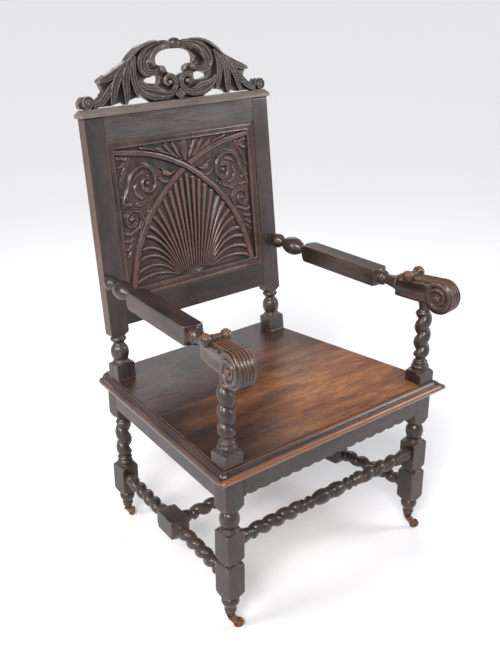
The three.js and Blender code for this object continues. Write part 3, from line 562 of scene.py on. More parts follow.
# %% Cross stretcher
low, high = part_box("cross_stretcher")
CROSS_HALF = (high.x - low.x) / 2 * 1000
cross_line = both_halves([
    (-CROSS_HALF, 18), (12 - CROSS_HALF, 17.6), (20 - CROSS_HALF, 15), (25 - CROSS_HALF, 12), (-67, 12),
    (-64, 14.5), (-59, 16.8), (-54, 12.5), (-50, 11.5), (-38, 17), (-24, 19.4), (-10, 16.5), (-5, 14.5),
    (0, 16.2)])
rings = length_of_wood(cross_line, (), two_twists(24 - CROSS_HALF, CROSS_HALF - 24, -66, 66), columns=40)
rings = laid_along(rings, (0, BLOCK_Y, SIDE_Z), (1, BLOCK_Y, SIDE_Z))
wooden("stretcher_cross", rings, "cross_stretcher", oak_across)
print("cross stretcher length", round(2 * CROSS_HALF, 1))

# %% [markdown]
# Short turned supports with a twist carry the hand rests.

# %% Arm supports
SUPPORT_LINE = [(465.3, 48), (489, 48), (490, 40), (493, 34), (497, 27), (499, 22), (501, 22), (507, 23.6),
                (512, 21.5), (514, 17.8), (516, 17.8), (519, 19.6), (522, 18), (525, 14), (529, 13.2),
                (532, 14), (534, 12.5), (660, 12.5), (664, 14), (668, 13.6), (676, 14.6), (686.7, 17)]
for side, sign in SIDES:
    twist = paired_twist(531, 665, 21.6, 12, 43, sign, -0.8)
    rings = length_of_wood(SUPPORT_LINE, [(465.3, 499, BLOCK_HALF, BLOCK_HALF)], [twist])
    rings = stood_at(rings, sign * ARM_SUPPORT[0], ARM_SUPPORT[1])
    wooden(f"support_{side}", rings, f"arm_support_{side}", oak_up)

# %% [markdown]
# Each back post is one long piece: a block on the seat, a ball and a ring, then the flat stile that
# holds the rails. It leans with the back, and its foot is cut level so that it stands flat.

# %% Back posts
POST_HALF = 27.2
POST_LINE = [(-4, 48), (40, 48), (41, 40), (44, 31), (47, 24), (49, 21.5), (52, 21), (54, 18.6), (57, 19.5),
             (65, 22.8), (75.5, 24.2), (86, 22.6), (93, 18.2), (97, 15), (101, 14.2), (104, 15.5), (107, 20),
             (111, 21.6), (115, 20), (117, 17), (119, 18), (123, 24), (130, 33), (133, 42), (134, 48),
             (677, 48)]
POST_SQUARES = [(-4, 56, 27, 22), (118, 677, POST_HALF, POST_V)]
OUTER_RUB, RUB_FROM = 0.34, 120
for side, sign in SIDES:
    rings = on_back(length_of_wood(POST_LINE, POST_SQUARES) + np.array([sign * POST_X, POST_V, 0]))
    rings[..., 2] = np.maximum(rings[..., 2], SEAT_TOP + GAP)
    post = wooden(f"post_{side}", rings, f"back_post_{side}", oak_post)
    # Clothes and hands have rubbed the outer faces of the stiles
    wear_and_shade = post.data.attributes["wear_and_shade"].data
    for vertex in post.data.vertices:
        if abs(vertex.co.x) > (POST_X + POST_HALF - 0.7) * MM and vertex.co.z > (SEAT_TOP + RUB_FROM) * MM:
            wear_and_shade[vertex.index].value = min(1.0, wear_and_shade[vertex.index].value + OUTER_RUB)

# %% [markdown]
# Boards and rails are straight sawn timber, so their solids are already right. What a solid lacks is the
# soft arris of an old board. A copy of the solid gets a small bevel, and the bevel's own faces take a
# rubbed finish through the modifier's material number.

# %% Easing arrises
def edge_finish(name, grain, rubbed):
    """The same oak where an arris has been rubbed through."""
    return oak_finish(name, grain, stain=(0.05, 0.026, 0.018), brown=rubbed, rubbed=rubbed, rub=1.6, gloss=0.3)


arris_up = edge_finish("arris_up", "z", (0.30, 0.125, 0.055))
arris_across = edge_finish("arris_across", "x", (0.22, 0.10, 0.05))
arris_seat = edge_finish("arris_seat", "x", (0.46, 0.18, 0.065))


def softened(name, node, finish, arris, width=1.1, segments=2, body="chair"):
    """A copy of a solid with its arrises eased."""
    obj = bpy.data.objects.new(name, nodes[node].data.copy())
    bpy.context.scene.collection.objects.link(obj)
    obj.data.materials.clear()
    welded = bmesh.new()
    welded.from_mesh(obj.data)
    bmesh.ops.remove_doubles(welded, verts=welded.verts, dist=1e-6)
    bmesh.ops.dissolve_limit(welded, angle_limit=math.radians(1), verts=welded.verts, edges=welded.edges)
    for face in welded.faces:
        face.material_index = 0
        face.smooth = False
    welded.to_mesh(obj.data)
    welded.free()
    bevel = obj.modifiers.new("eased_arris", "BEVEL")
    bevel.width = width * MM
    bevel.segments = segments
    bevel.limit_method = "ANGLE"
    bevel.angle_limit = math.radians(30)
    bevel.material = 1
    dress(obj, node, finish, body)
    obj.data.materials.append(arris)
    return obj


print("arris finishes", arris_up.name, arris_across.name, arris_seat.name)

# %% Boards and rails
softened("rail_back_top", "back_top_rail", oak_rail_top, arris_across, 0.8)
for name, node, finish in (("rail_back_bottom", "back_bottom_rail", oak_across),
                           ("rail_seat_back", "back_seat_rail", oak_across),
                           ("rail_seat_left", "side_rail_left", oak_deep),
                           ("rail_seat_right", "side_rail_right", oak_deep)):
    board = softened(name, node, finish, arris_across, 0.8)
    print(board.name, "length", round(max(board.dimensions) * 1000, 1), "mm")
softened("capping", "crest_cap", oak_cap, arris_across, 1.6, segments=3)

# %% [markdown]
# The seat is two wide planks, polished by use. The stain has gone where people sit, so the middle is
# red-brown and shows its figure, while the back corners under the posts are still dark. The wear is a
# soft patch in the finish, placed by distance from the middle of the seat.

# %% Seat planks
RUB_SCALE, RUB_SHIFT = (3.5, 3.3, 0), (-0.50, 0.54, 0)


def seat_finish(name, dulled):
    """Seat oak; dulled keeps the rubbed patch back on the rear plank."""
    r = Recipe(name)
    fibres = r.noise(stretched("x", FIBRE), 380, 5, 0.72)
    figure = r.noise((0.22, 1, 1), 22, 6, 0.65)
    clouds = r.noise((0.7, 1, 1), 7, 4, 0.6)
    flecks = r.ramp(r.noise((0.1, 1.1, 1), 330, 3, 0.6), (0.55, 0.0), (0.64, 1.0))
    # How far each spot is from the place where the seat is rubbed most
    shifted = r.add("ShaderNodeMapping")
    for key, value in (("Location", RUB_SHIFT), ("Scale", RUB_SCALE), ("Vector", r.place)):
        r.feed(shifted.inputs[key], value)
    away = r.add("ShaderNodeVectorMath", operation="LENGTH")
    r.feed(away.inputs[0], shifted.outputs["Vector"])
    edge = r.plus(r.less(away.outputs["Value"], r.times(clouds, 0.95)), dulled)
    patch = r.ramp(edge, (0.0, 1.0), (0.5, 0.5), (1.0, 0.0))
    grain = r.plus(r.times(figure, 0.75), r.times(fibres, 0.4))
    light = r.ramp(grain, (0.42, (0.09, 0.027, 0.012)), (0.58, (0.28, 0.098, 0.034)),
                   (0.74, (0.50, 0.215, 0.075)))
    dark = r.ramp(grain, (0.42, (0.015, 0.0085, 0.007)), (0.76, (0.062, 0.026, 0.017)))
    body = r.mix(r.times(flecks, 0.5), r.mix(patch, dark, light), (0.022, 0.012, 0.009))
    r.feed(r.shader["Base Color"], body)
    sheen = r.plus(0.24, r.times(clouds, 0.26))
    r.feed(r.shader["Roughness"], r.plus(sheen, r.times(flecks, 0.12)))
    r.bump(r.less(r.times(fibres, 0.5), r.times(flecks, 0.7)), 0.25, 0.0005)
    return r.material


PLANKS = (("plank_front", "seat_board_front", 0.0), ("plank_rear", "seat_board_rear", 0.27))
for name, node, dulled in PLANKS:
    plank = softened(name, node, seat_finish(f"oak_{name}", dulled), arris_seat)
    print(name, "depth", round(plank.dimensions.y * 1000, 1), "mm")

# %% [markdown]
# A moulded strip runs round three sides of the seat, mitred at the front corners: a flat, a cove, a fat
# half-round and a small return under it. One section is drawn once and carried between the plan
# points of each strip, which also makes the mitres.

# %% Section of the moulding
NOSE_X, NOSE_Y = 378.5, -309.6
BACK_X, SEAT_BACK = 306.0, 313.0
EDGE_W, EDGE_SIDE = 24.2, 22.6
NOSE_R, NOSE_Z = 9, 443.6
section = [(24.2, 462.6), (20.5, 462.6), (19.2, 462.0), (16.5, 460.2), (14.2, 457.6), (12.6, 454.6),
           (12.0, 452.9), (9.6, 452.6)]
section += [(NOSE_R + NOSE_R * math.cos(a), NOSE_Z + NOSE_R * math.sin(a))
            for a in np.linspace(math.pi / 2, 1.5 * math.pi, 15)]
section += [(11.2, 434.4), (11.4, 432.8), (12.6, 430.2), (15.5, 428.4), (20, 427.8), (20.2, 426.1),
            (24.2, 426)]
# Per point of the section: positive values are rubbed wear; negative values paint the foot of the cove and the
# return under the half-round darker, partly as dirt and partly as painted shade
section_wear_and_shade = [0.3, 0.7, 0.35, 0.1, 0.05, 0.0, -0.25, -0.15] + [0.62] * 15 + [-0.4, -0.3, -0.1, 0, 0.4, 0.2, 0]
print("moulding section", len(section), "points")

# %% Seat moulding
def edge_strip(name, outer_ends, inner_ends, node, finish, steps=40):
    """The section carried along a side of the seat, from plan points to plan points."""
    along = np.linspace(0, 1, steps)[:, None, None]
    outer = np.array(outer_ends[0]) * (1 - along) + np.array(outer_ends[1]) * along
    inner = np.array(inner_ends[0]) * (1 - along) + np.array(inner_ends[1]) * along
    inwards, z = np.array(section).T
    plan = outer + (inner - outer) * (inwards / EDGE_W)[:, None]
    rings = np.dstack([plan, np.broadcast_to(z, plan.shape[:2])])
    obj = tube(name, rings)
    face_outwards(obj)
    store_wear_and_shade(obj, np.concatenate([np.tile(section_wear_and_shade, steps), [0, 0]]))
    dress(obj, node, finish)
    print(name, "length", round(float(np.linalg.norm(rings[-1, 0] - rings[0, 0])), 1), "mm")


edge_across = oak_finish("edge_across", "x", brown=(0.11, 0.047, 0.029), rubbed=(0.30, 0.112, 0.050),
                         rub=1.25, gloss=0.24, dust_and_sheen=0.05)
edge_deep = oak_finish("edge_deep", "y", rubbed=(0.17, 0.085, 0.06), rub=0.7, gloss=0.24)
splay = (NOSE_X - BACK_X) / (SEAT_BACK - NOSE_Y)
inner_x, inner_y = NOSE_X - splay * EDGE_W - EDGE_SIDE, NOSE_Y + EDGE_W
HALF_GAP = GAP / 2
edge_strip("edge_front", ((HALF_GAP - NOSE_X, NOSE_Y), (NOSE_X - HALF_GAP, NOSE_Y)),
           ((HALF_GAP - inner_x, inner_y), (inner_x - HALF_GAP, inner_y)), "seat_moulding_front", edge_across)
for side, sign in SIDES:
    edge_strip(f"edge_{side}", ((sign * NOSE_X, NOSE_Y + HALF_GAP), (sign * BACK_X, SEAT_BACK)),
               ((sign * inner_x, inner_y + HALF_GAP), (sign * (BACK_X - EDGE_SIDE), SEAT_BACK)),
               f"seat_moulding_{side}", edge_deep)

# %% [markdown]
# The front apron ends below in a row of small rounded lobes, sawn one after another from a thin board.

# %% Apron
APRON_HALF = FRONT_LEG[0] - LEG_TOP_X - GAP
APRON_LOW, LOBE_ROOT, LOBE_DEPTH, SHOULDER, EASE = 374.0, 380.0, 6.0, 8, 0.8
LOBES = 16
pitch = (2 * APRON_HALF - 2 * SHOULDER) / LOBES
edge = [(-APRON_HALF, APRON_LOW), (-APRON_HALF + 4, APRON_LOW), (-APRON_HALF + SHOULDER, LOBE_ROOT)]
edge += [(-APRON_HALF + SHOULDER + (i + t) * pitch, LOBE_ROOT - LOBE_DEPTH * math.sin(math.pi * t) ** 0.6)
         for i in range(LOBES) for t in np.linspace(0.06, 1, 12)]
edge = np.array(edge + [(APRON_HALF - 4, APRON_LOW), (APRON_HALF, APRON_LOW)])
front_y, back_y = FRONT_LEG[1] - LEG_TOP_Y, FRONT_LEG[1] + 2
rows = []
for y, ease in ((front_y, EASE), (front_y + EASE, 0.0), (back_y, 0.0)):
    foot = np.column_stack([edge[:, 0], np.full(len(edge), y), edge[:, 1] + ease])
    rows.append(np.vstack([foot, [[APRON_HALF, y, FRAME_TOP], [-APRON_HALF, y, FRAME_TOP]]]))
count = len(rows[0])
faces = [[r * count + c, (r + 1) * count + c, (r + 1) * count + (c + 1) % count, r * count + (c + 1) % count]
         for r in range(2) for c in range(count)]
faces += [list(range(count)), list(range(3 * count - 1, 2 * count - 1, -1))]
apron = new_piece("apron", placed(np.array(rows)), faces, smooth=False)
face_outwards(apron)
dress(apron, "apron_front", oak_across)
print("apron lobes every", round(pitch, 1), "mm")

# %% [markdown]
# The back panel is carved out of one board: a flat border, a sunk ground, two bands that cross like a
# pointed arch, a fan of hollow reeds under them, and leaf scrolls in the corners.
# Low relief like this has one height at every spot, so it is written as a height field: each motif
# gives the height that it would have alone, and the highest wins, as the carver leaves the wood.

# %% Helpers for low relief
def nearest_on_line(X, U, line):
    """For each spot, its distance from a line of points, and how far along it."""
    best = np.full(X.shape, 1e9)
    along = np.zeros_like(X)
    lengths = np.hypot(*np.diff(np.array(line), axis=0).T)
    run = 0.0
    for (x0, u0), (x1, u1), length in zip(line[:-1], line[1:], lengths):
        t = np.clip(((X - x0) * (x1 - x0) + (U - u0) * (u1 - u0)) / length ** 2, 0, 1)
        d = np.hypot(X - x0 - t * (x1 - x0), U - u0 - t * (u1 - u0))
        near = d < best
        best = np.where(near, d, best)
        along = np.where(near, (run + t * length) / lengths.sum(), along)
        run += length
    return best, along


def fine_line(points, rounds=2):
    """A smooth line through rough points, by cutting corners."""
    return [tuple(p) for p in smooth_profile(points, rounds)]


def cut_line(distance, at, width):
    """A fine cut with soft sides: 1 at its middle, 0 away from it."""
    return np.exp(-((distance - at) / width) ** 2)


def rounded_ridge(distance, width, height, power=0.5):
    """Height of a half-round ridge: full on its line, nothing past its width."""
    t = np.clip(1 - (distance / np.maximum(width, 0.01)) ** 2, 0, 1)
    return height * t ** power

LEAF_SECTIONS = {"plain": lambda s: 1.0, "dished": lambda s: 0.68 + 0.32 * s,
                 "hollow": lambda s: 0.62 - 0.38 * np.cos(math.pi * s),
                 "ribbed": lambda s: 0.62 + 0.38 * np.cos(1.5 * math.pi * s)}


def leaf_height(X, U, line, w0, w1, height, kind):
    """A leaf that follows a line, with one of the sections above from its middle to its edge."""
    d, t = nearest_on_line(X, U, line)
    s = d / (w0 + (w1 - w0) * t)
    return height * np.clip(1 - s ** 2, 0, 1) ** 0.35 * LEAF_SECTIONS[kind](s)


print("leaf sections", list(LEAF_SECTIONS))

# %% [markdown]
# The ground plan of the carving is written once for the left half, and the right half reads the same
# numbers with x turned round. Only the bands differ: at the crossing one passes over the other.

# %% Panel ground and bands
PANEL_X, PANEL_LOW, PANEL_HIGH, PANEL_STEP = 236.4, 212.3, 614.7, 1.5
BORDER, FACE_V, GROUND_V, PANEL_BACK_V = 22.0, 4.0, 12.0, 22.0
BAND = fine_line([(-216, 586), (-169, 580), (-120, 573), (-65, 556), (-33, 541), (0, 525), (37, 500),
                  (70, 472), (100, 443), (133, 404), (162, 355), (184, 303), (196, 255), (201, 226)])
BAND_HALF, ARCH_HALF = 7.8, 201
xs = np.unique(np.concatenate([np.arange(-PANEL_X, PANEL_X, PANEL_STEP), [PANEL_X]]))
us = np.unique(np.concatenate([np.arange(PANEL_LOW, PANEL_HIGH, PANEL_STEP), [PANEL_HIGH]]))
X, U = np.meshgrid(xs, us)
relief_depth = GROUND_V - FACE_V
rim_distance = np.minimum(PANEL_X - np.abs(X), np.minimum(U - PANEL_LOW, PANEL_HIGH - U))
ground = 0.35 * np.sin(X * 0.9 + 2 * np.sin(U * 0.21)) * np.sin(U * 0.8 + 1.7 * np.sin(X * 0.17))
height = ground.copy()
over, _ = nearest_on_line(X, U, BAND)
under, _ = nearest_on_line(-X, U, BAND)
arch_u = np.interp(np.abs(X), *np.array(BAND).T)
inside_arch = (U < arch_u) & (np.abs(X) < ARCH_HALF)


def band_height(distance):
    """Height over the ground of a flat band with a line cut near each edge."""
    flat = np.clip((BAND_HALF - distance) / 1.5, 0, 1)
    return flat * (relief_depth - 0.3) - 1.5 * cut_line(distance, BAND_HALF - 3.0, 0.9) * (flat > 0.9)


print("panel grid", X.shape, "points")

# %% Fan of the panel
# Each rib rises from the foot, bends outwards and ends round
FAN_TIPS = [(0, 500), (20, 491), (39, 480), (58, 464), (79, 446), (100, 424), (116, 406), (133, 384),
            (146, 361), (161, 329), (172, 303), (182, 271), (189, 245)]
FAN_BEND = [0, 3, 7, 12, 18, 25, 32, 40, 48, 54, 54, 46, 30]
FOOT_U, FOOT_SPREAD = 238.0, 56.0
fan = np.full(X.shape, 9.0)
fan_along = np.zeros_like(X)
for side in (1, -1):
    for k, (tip, bend) in enumerate(zip(FAN_TIPS, FAN_BEND)):
        angle = 1.5 * k / (len(FAN_TIPS) - 1)
        foot = np.array([FOOT_SPREAD * math.sin(angle), FOOT_U + 8 * math.cos(angle)])
        tip = np.array(tip, float)
        pull = (foot + tip) / 2 + np.array([-bend * 0.15, bend])
        t = np.linspace(0, 1, 14)[:, None]
        line = foot * (1 - t) ** 2 + pull * 2 * t * (1 - t) + tip * t ** 2
        d, t = nearest_on_line(side * X, U, [tuple(p) for p in line])
        share = d / (1.7 + 4.9 * t ** 0.8)
        closer = share < fan
        fan = np.where(closer, share, fan)
        fan_along = np.where(closer, t, fan_along)
fan_height = (3.4 + 3.8 * np.clip(fan_along * 2.2, 0, 1)) * np.clip(1 - fan ** 2, 0, 1) ** 0.5
height = np.where(inside_arch, np.maximum(fan_height, ground - 0.6), height)
print("ribs in the fan", 2 * len(FAN_TIPS) - 1)

# %% Leaf scrolls of the panel
# Each row: line, half width at its start and end, height, section
great = [(-205, 455), (-199, 470), (-186, 487), (-179, 514), (-164, 534), (-142, 543), (-119, 538),
         (-102, 519), (-98, 495), (-108, 477), (-123, 472), (-137, 480), (-142, 496), (-135, 509),
         (-123, 510)]
second = [(-160, 388), (-150, 402), (-152, 424), (-168, 436), (-187, 434), (-201, 420), (-200, 402),
          (-187, 392), (-174, 397), (-170, 410), (-178, 418)]
LEAVES = [
    (great, 8.5, 6.5, 7.4, "ribbed"), (second, 5.6, 4.6, 6.8, "hollow"),
    ([(-206, 500), (-198, 520), (-184, 545), (-176, 566)], 4, 5, 5.6, "hollow"),
    ([(-165, 512), (-152, 522), (-137, 526)], 2, 4.5, 4.6, "dished"),
    ([(-158, 498), (-166, 486), (-160, 470), (-146, 461)], 3, 5, 5.0, "dished"),
    ([(-104, 468), (-118, 456), (-136, 452), (-150, 445), (-158, 447)], 3, 5.5, 5.4, "hollow"),
    ([(-88, 505), (-77, 494), (-62, 490)], 2.5, 5.5, 5.4, "dished"),
    ([(-40, 516), (-48, 511), (-57, 510), (-66, 515)], 1.6, 8.5, 7.4, "plain"),
    ([(-84, 531), (-74, 526), (-66, 517)], 1.5, 3.5, 5.4, "plain"),
    ([(-206, 548), (-196, 549), (-190, 556)], 3.5, 4, 5.4, "dished"),
    ([(-206, 571), (-196, 570), (-187, 565)], 6, 4, 6.2, "dished"),
    ([(-207, 472), (-196, 474), (-190, 468)], 3, 4.5, 5.2, "dished"),
    ([(-208, 447), (-196, 452), (-183, 449)], 3, 4.5, 5.0, "dished"),
    ([(-146, 392), (-134, 408), (-128, 424)], 2.5, 4.5, 5.0, "dished"),
    ([(-206, 378), (-193, 374), (-180, 380), (-168, 386)], 4.5, 4, 5.6, "dished"),
    ([(-207, 358), (-196, 356), (-186, 362)], 4, 4, 5.4, "dished"),
    ([(-207, 336), (-199, 338), (-192, 346)], 3.5, 3.5, 5.0, "dished"),
    ([(-207, 316), (-201, 320), (-196, 328)], 3, 3, 4.6, "dished"),
]
for turn in (1, -1):
    for line, *shape in LEAVES:
        leaf = leaf_height(X * turn, U, fine_line(line), *shape)
        height = np.maximum(height, np.where(inside_arch, height, leaf))
    for x, u, r, h in ((-124, 497, 6.5, 7.4), (-183, 411, 6, 7.0)):
        eye = np.hypot(X * turn - x, U - u)
        height = np.maximum(height, rounded_ridge(eye, r, h))
print("leaves on each side", len(LEAVES))

# %% Palmette over the crossing
# An outlined bud between slender tongues and long outer leaves
bud, along = nearest_on_line(X, U, [(0, 541), (0, 589)])
bud_width = 3 + 10.5 * np.sin(np.clip(along, 0, 1) * math.pi * 0.78 + 0.1)
palmette = rounded_ridge(bud, bud_width, 7.4) - 2.2 * cut_line(bud, bud_width - 3.4, 1.0) * (bud < bud_width)
TONGUES = (([(12, 546), (21, 556), (28, 572), (37, 588)], 4.2),
           ([(20, 546), (34, 557), (48, 568), (60, 586)], 4.4),
           ([(30, 549), (50, 560), (66, 568), (84, 580)], 4.4),
           ([(46, 554), (75, 566), (98, 575), (136, 588)], 5.2))
for turn in (1, -1):
    for line, wide in TONGUES:
        d, t = nearest_on_line(X * turn, U, fine_line(line))
        wide_here = 1.6 + (wide - 1.0) * np.sin(np.clip(t, 0, 1) * math.pi * 0.75)
        tongue = rounded_ridge(d, wide_here, 6.4) - 1.3 * (d < wide_here * 0.3)
        palmette = np.maximum(palmette, tongue)
height = np.maximum(height, np.where(inside_arch, height, palmette))
# Half-round boss at the fan's foot
boss = np.hypot(X / 30, (U - 233) / 12)
height = np.maximum(height, np.clip(1.2 - boss, 0, 0.8) * 8.0)
print("tongues", 2 * len(TONGUES))

# %% Bands and border over the rest
height = np.where(under < BAND_HALF, np.maximum(band_height(under), 0.0), height)
height = np.where(over < BAND_HALF + 1.4, np.where(over < BAND_HALF, band_height(over), 1.5), height)
# The flat border, with a small bevel down into the ground and a fine line cut near each of its edges
inner = rim_distance - BORDER
frame_edge = np.clip(-inner / 1.4, 0, 1)
height = np.where(inner < 0, np.maximum(frame_edge * relief_depth, height * (inner > -1.4)), height)
height -= 1.5 * cut_line(rim_distance, 5.5, 1.0) + 1.1 * cut_line(rim_distance, BORDER - 4.5, 0.9)
V = GROUND_V - height
print("panel relief from", round(float(V.min()), 2), "to", round(float(V.max()), 2), "mm behind the frame")

# %% [markdown]
# The height field becomes the front of a closed board: its rim is carried straight back to a plain
# rear face, as the real panel is a board of even thickness.

# %% The panel as one board
rows, columns = X.shape
front = np.stack([X, V, U], -1).reshape(-1, 3)
grid = np.arange(rows * columns).reshape(rows, columns)
quads = np.stack([grid[:-1, :-1], grid[:-1, 1:], grid[1:, 1:], grid[1:, :-1]], -1).reshape(-1, 4).tolist()
rim = np.concatenate([grid[0, :-1], grid[:-1, -1], grid[-1, :0:-1], grid[:0:-1, 0]])
back_points = front[rim].copy()
back_points[:, 1] = PANEL_BACK_V
# A second ring just inside the rear edge keeps the plain rear face flat in its shading
inner_points = back_points.copy()
middle = np.array([0, (PANEL_LOW + PANEL_HIGH) / 2])
inner_points[:, [0, 2]] = middle + (back_points[:, [0, 2]] - middle) * 0.975
n = len(rim)
rear_ring = len(front) + np.arange(n)
for outer, inner in ((rim, rear_ring), (rear_ring, rear_ring + n)):
    quads += np.stack([np.roll(outer, -1), outer, inner, np.roll(inner, -1)], -1).tolist()
points = np.vstack([front, back_points, inner_points])
panel = new_piece("panel", placed(on_back(points)), quads + [(rear_ring + n)[::-1].tolist()])
face_outwards(panel)
weather_and_shade(panel, 9, 0.8, broad=True)
wear_and_shade = panel.data.attributes["wear_and_shade"].data
for i in range(len(front) + n, len(points)):
    wear_and_shade[i].value = 0.0
panel.data.set_sharp_from_angle(angle=math.radians(55))
dress(panel, "back_panel", oak_carved)
print("panel faces", len(panel.data.polygons))

# %% [markdown]
# The crest is carved in the round and pierced. Scrolls and leaves run into one another and their
# edges stand free round the openings. They are swept strips with gouges cut along them, laid over a
# sawn ground, then a voxel remesh fuses them into one skin, like one piece of wood.

# %% Helpers for carving in the round
GOUGE_DEPTH = 2.6


def swept(line, widths, front_v, back_v, hollow, crown, gouges, around=34):
    """Rings of a strip that follows a line in the plane of the back. hollow sinks the middle of its face,
    crown raises it, and gouges cuts that many grooves along it."""
    line = np.array(line, float)
    way = np.gradient(line, axis=0)
    way /= np.linalg.norm(way, axis=1)[:, None] + 1e-9
    across = np.column_stack([way[:, 1], -way[:, 0]])
    t = np.linspace(0, 1, len(line))
    width = np.interp(t, np.linspace(0, 1, len(widths)), widths)[:, None]
    face = np.interp(t, np.linspace(0, 1, len(front_v)), front_v)[:, None]
    s = np.linspace(-1, 1, around)
    edge = np.sqrt(np.clip(1 - s ** 10, 0, 1))
    depth = back_v - (back_v - face) * edge
    depth = depth + hollow * width * np.clip(1 - (s / 0.8) ** 2, 0, 1)
    depth = depth - crown * width * np.clip(1 - s ** 2, 0, 1)
    if gouges:
        wave = 0.5 - 0.5 * np.cos(2 * np.pi * gouges * (s + 1) / 2)
        depth = depth + GOUGE_DEPTH * wave * edge * np.clip(width / 6, 0, 1)
    depth = np.minimum(depth, back_v - 0.5)

    def across_at(s, v):
        x = line[:, :1] + across[:, :1] * width * s
        return np.stack([x, v + 0 * x, line[:, 1:] + across[:, 1:] * width * s], -1)

    return np.concatenate([across_at(s, depth), across_at(s[::-1][1:-1:4], back_v)], 1)


def add_tube(parts, rings):
    """Collects a closed tube of rings as points and faces."""
    parts.append((placed(tube_points(rings)), ring_faces(*rings.shape[:2])))


def around_circle(count):
    return np.linspace(0, 2 * math.pi, count, endpoint=False)


def ball_rings(centre, radii, rows=14, columns=20):
    """A ball or egg as rings round the upright axis."""
    a, b = np.linspace(-math.pi / 2 + 0.12, math.pi / 2 - 0.12, rows)[:, None], around_circle(columns)
    ball = np.stack([np.cos(a) * np.cos(b), np.cos(a) * np.sin(b), np.sin(a) + 0 * b], -1)
    return np.array(centre) + ball * np.array(radii)


def arc_line(centre, r0, r1, a0, a1, n=24):
    t = np.linspace(0, 1, n)
    r = r0 + (r1 - r0) * t
    a = a0 + (a1 - a0) * t
    return [(centre[0] + q * math.cos(b), centre[1] + q * math.sin(b)) for q, b in zip(r, a)]

print("a ball has", ball_rings((0, 0, 0), (1, 1, 1)).shape[:2], "rings and points")

# %% One skin from many parts
def joined(name, parts):
    """One object from a list of (points, faces)."""
    points, faces, start = [], [], 0
    for p, f in parts:
        points.append(p)
        faces += [[i + start for i in face] for face in f]
        start += len(p)
    obj = new_piece(name, np.vstack(points), faces)
    face_outwards(obj)
    return obj


def applied(obj):
    """Makes the result of an object's modifiers its own mesh."""
    bpy.context.view_layer.update()
    final = bpy.data.meshes.new_from_object(obj.evaluated_get(bpy.context.evaluated_depsgraph_get()))
    obj.modifiers.clear()
    obj.data = final
    obj.data.shade_smooth()


def fused(name, parts, voxel, keep):
    """Joins closed parts into one skin with a voxel remesh, relaxes its stairs and thins its faces."""
    obj = joined(name, parts)
    remesh = obj.modifiers.new("one_skin", "REMESH")
    remesh.mode = "VOXEL"
    remesh.voxel_size = voxel * MM
    relax = obj.modifiers.new("relax", "SMOOTH")
    relax.factor = 0.5
    relax.iterations = 1
    obj.modifiers.new("thin", "DECIMATE").ratio = keep
    applied(obj)
    print(name, "fused from", len(parts), "parts into", len(obj.data.polygons), "faces")
    return obj


print("ready to fuse carved parts into one skin")

# %% [markdown]
# One half of the crest is listed, from the collar at the top knop down to the curl at the end, and the
# other half is its mirror image. Each row is a line, its half widths, how far forward its face stands,
# how hollow or crowned it is, and how many gouges run along it.

# %% Outlines of the crest
CREST_U = 696.6
crest_ground = [(0, 0), (84, 0), (104, 12), (120, 31), (124, 16), (150, 9), (162, 2), (176, 7), (200, 2),
                (292, 2), (295, 16), (284, 30), (260, 30), (246, 16), (221, 33), (230, 58), (191, 74),
                (160, 97), (131, 123), (104, 139), (62, 145), (24, 141), (0, 141)]
crest_hole = [(0, 125), (20, 126), (43, 121), (54, 114), (60, 103), (59, 91), (50, 87), (36, 87), (29, 80),
              (27, 70), (14, 65), (0, 56)]
side_hole = [(54, 60), (62, 64), (75, 64), (90, 60), (101, 55), (97, 50), (83, 46), (66, 44), (57, 44)]
print("crest height", max(z for _, z in crest_ground), "mm over its foot")

# %% Strips of the crest
CREST_STRIPS = [
    # Broad striated leaf of the upper scroll, and the rounded bud that lies on it
    ([(24, 139), (60, 133), (92, 115), (104, 92), (96, 72), (76, 70), (58, 76), (49, 78)],
     [9, 13, 20, 20, 14, 9, 7, 8], [1, -1, -2, -2, 1, 2], 0.16, 0, 4),
    ([(26, 137), (56, 129), (74, 116), (86, 94)], [2, 7, 9, 8, 2], [-1, -4, -4, -2], 0, 0.35, 0),
    # Lower leaf that sweeps in to the middle and curls up
    ([(124, 50), (112, 34), (92, 24), (70, 20), (46, 14), (24, 16), (10, 30), (8, 48), (20, 61), (36, 58),
      (42, 46), (34, 38), (26, 42)],
     [3, 9, 16, 20, 13, 9, 9, 9, 8, 7, 6, 5, 4], [1, -2, -3, -3, -2, -1, -2], 0.12, 0, 3),
    # Long lobes of the falling leaf
    ([(126, 116), (134, 92), (137, 64), (131, 38), (125, 14)],
     [4, 9, 10, 8, 1.5], [1, -3, -2, 1], 0.30, 0, 2),
    ([(134, 110), (152, 84), (161, 56), (159, 28), (162, 1)],
     [4, 10, 12, 9, 1.5], [0, -4, -3, 1], 0.30, 0, 2),
    ([(144, 104), (172, 80), (188, 54), (197, 28), (204, 3)],
     [4, 10, 12, 9, 1.5], [0, -3, -2, 2], 0.30, 0, 2),
    ([(150, 100), (182, 80), (208, 68), (235, 61)], [4, 9, 10, 2], [1, -2, 0, 2], 0.30, 0, 2),
    ([(168, 72), (196, 50), (222, 22), (240, 10), (256, 5)],
     [5, 9, 10, 8, 7], [2, 0, -1, 0], 0.25, 0, 2),
    # Curl at the end, over the cap
    (arc_line((272, 14), 14.5, 5, 3.3, -4.4, 34), [5.5, 6, 5.5, 5], [0, -3, -4], 0.28, 0, 1),
    # Raised rim along the upper edge
    ([(56, 147), (86, 143), (110, 134), (131, 119), (150, 103)], [2, 4.5, 5, 4.5, 2], [1, -1, 0], 0, 0.3, 0),
    # Fluted collar beside the knop
    ([(17, 136), (30, 137), (44, 133)], [9.5, 11.5, 9], [-1, -2, 0], 0, 0.15, 4),
]

print("strips on each half", len(CREST_STRIPS))

# %% Crest
GROUND_FRONT, GROUND_BACK, STRIP_BACK = 13, 26.5, 25


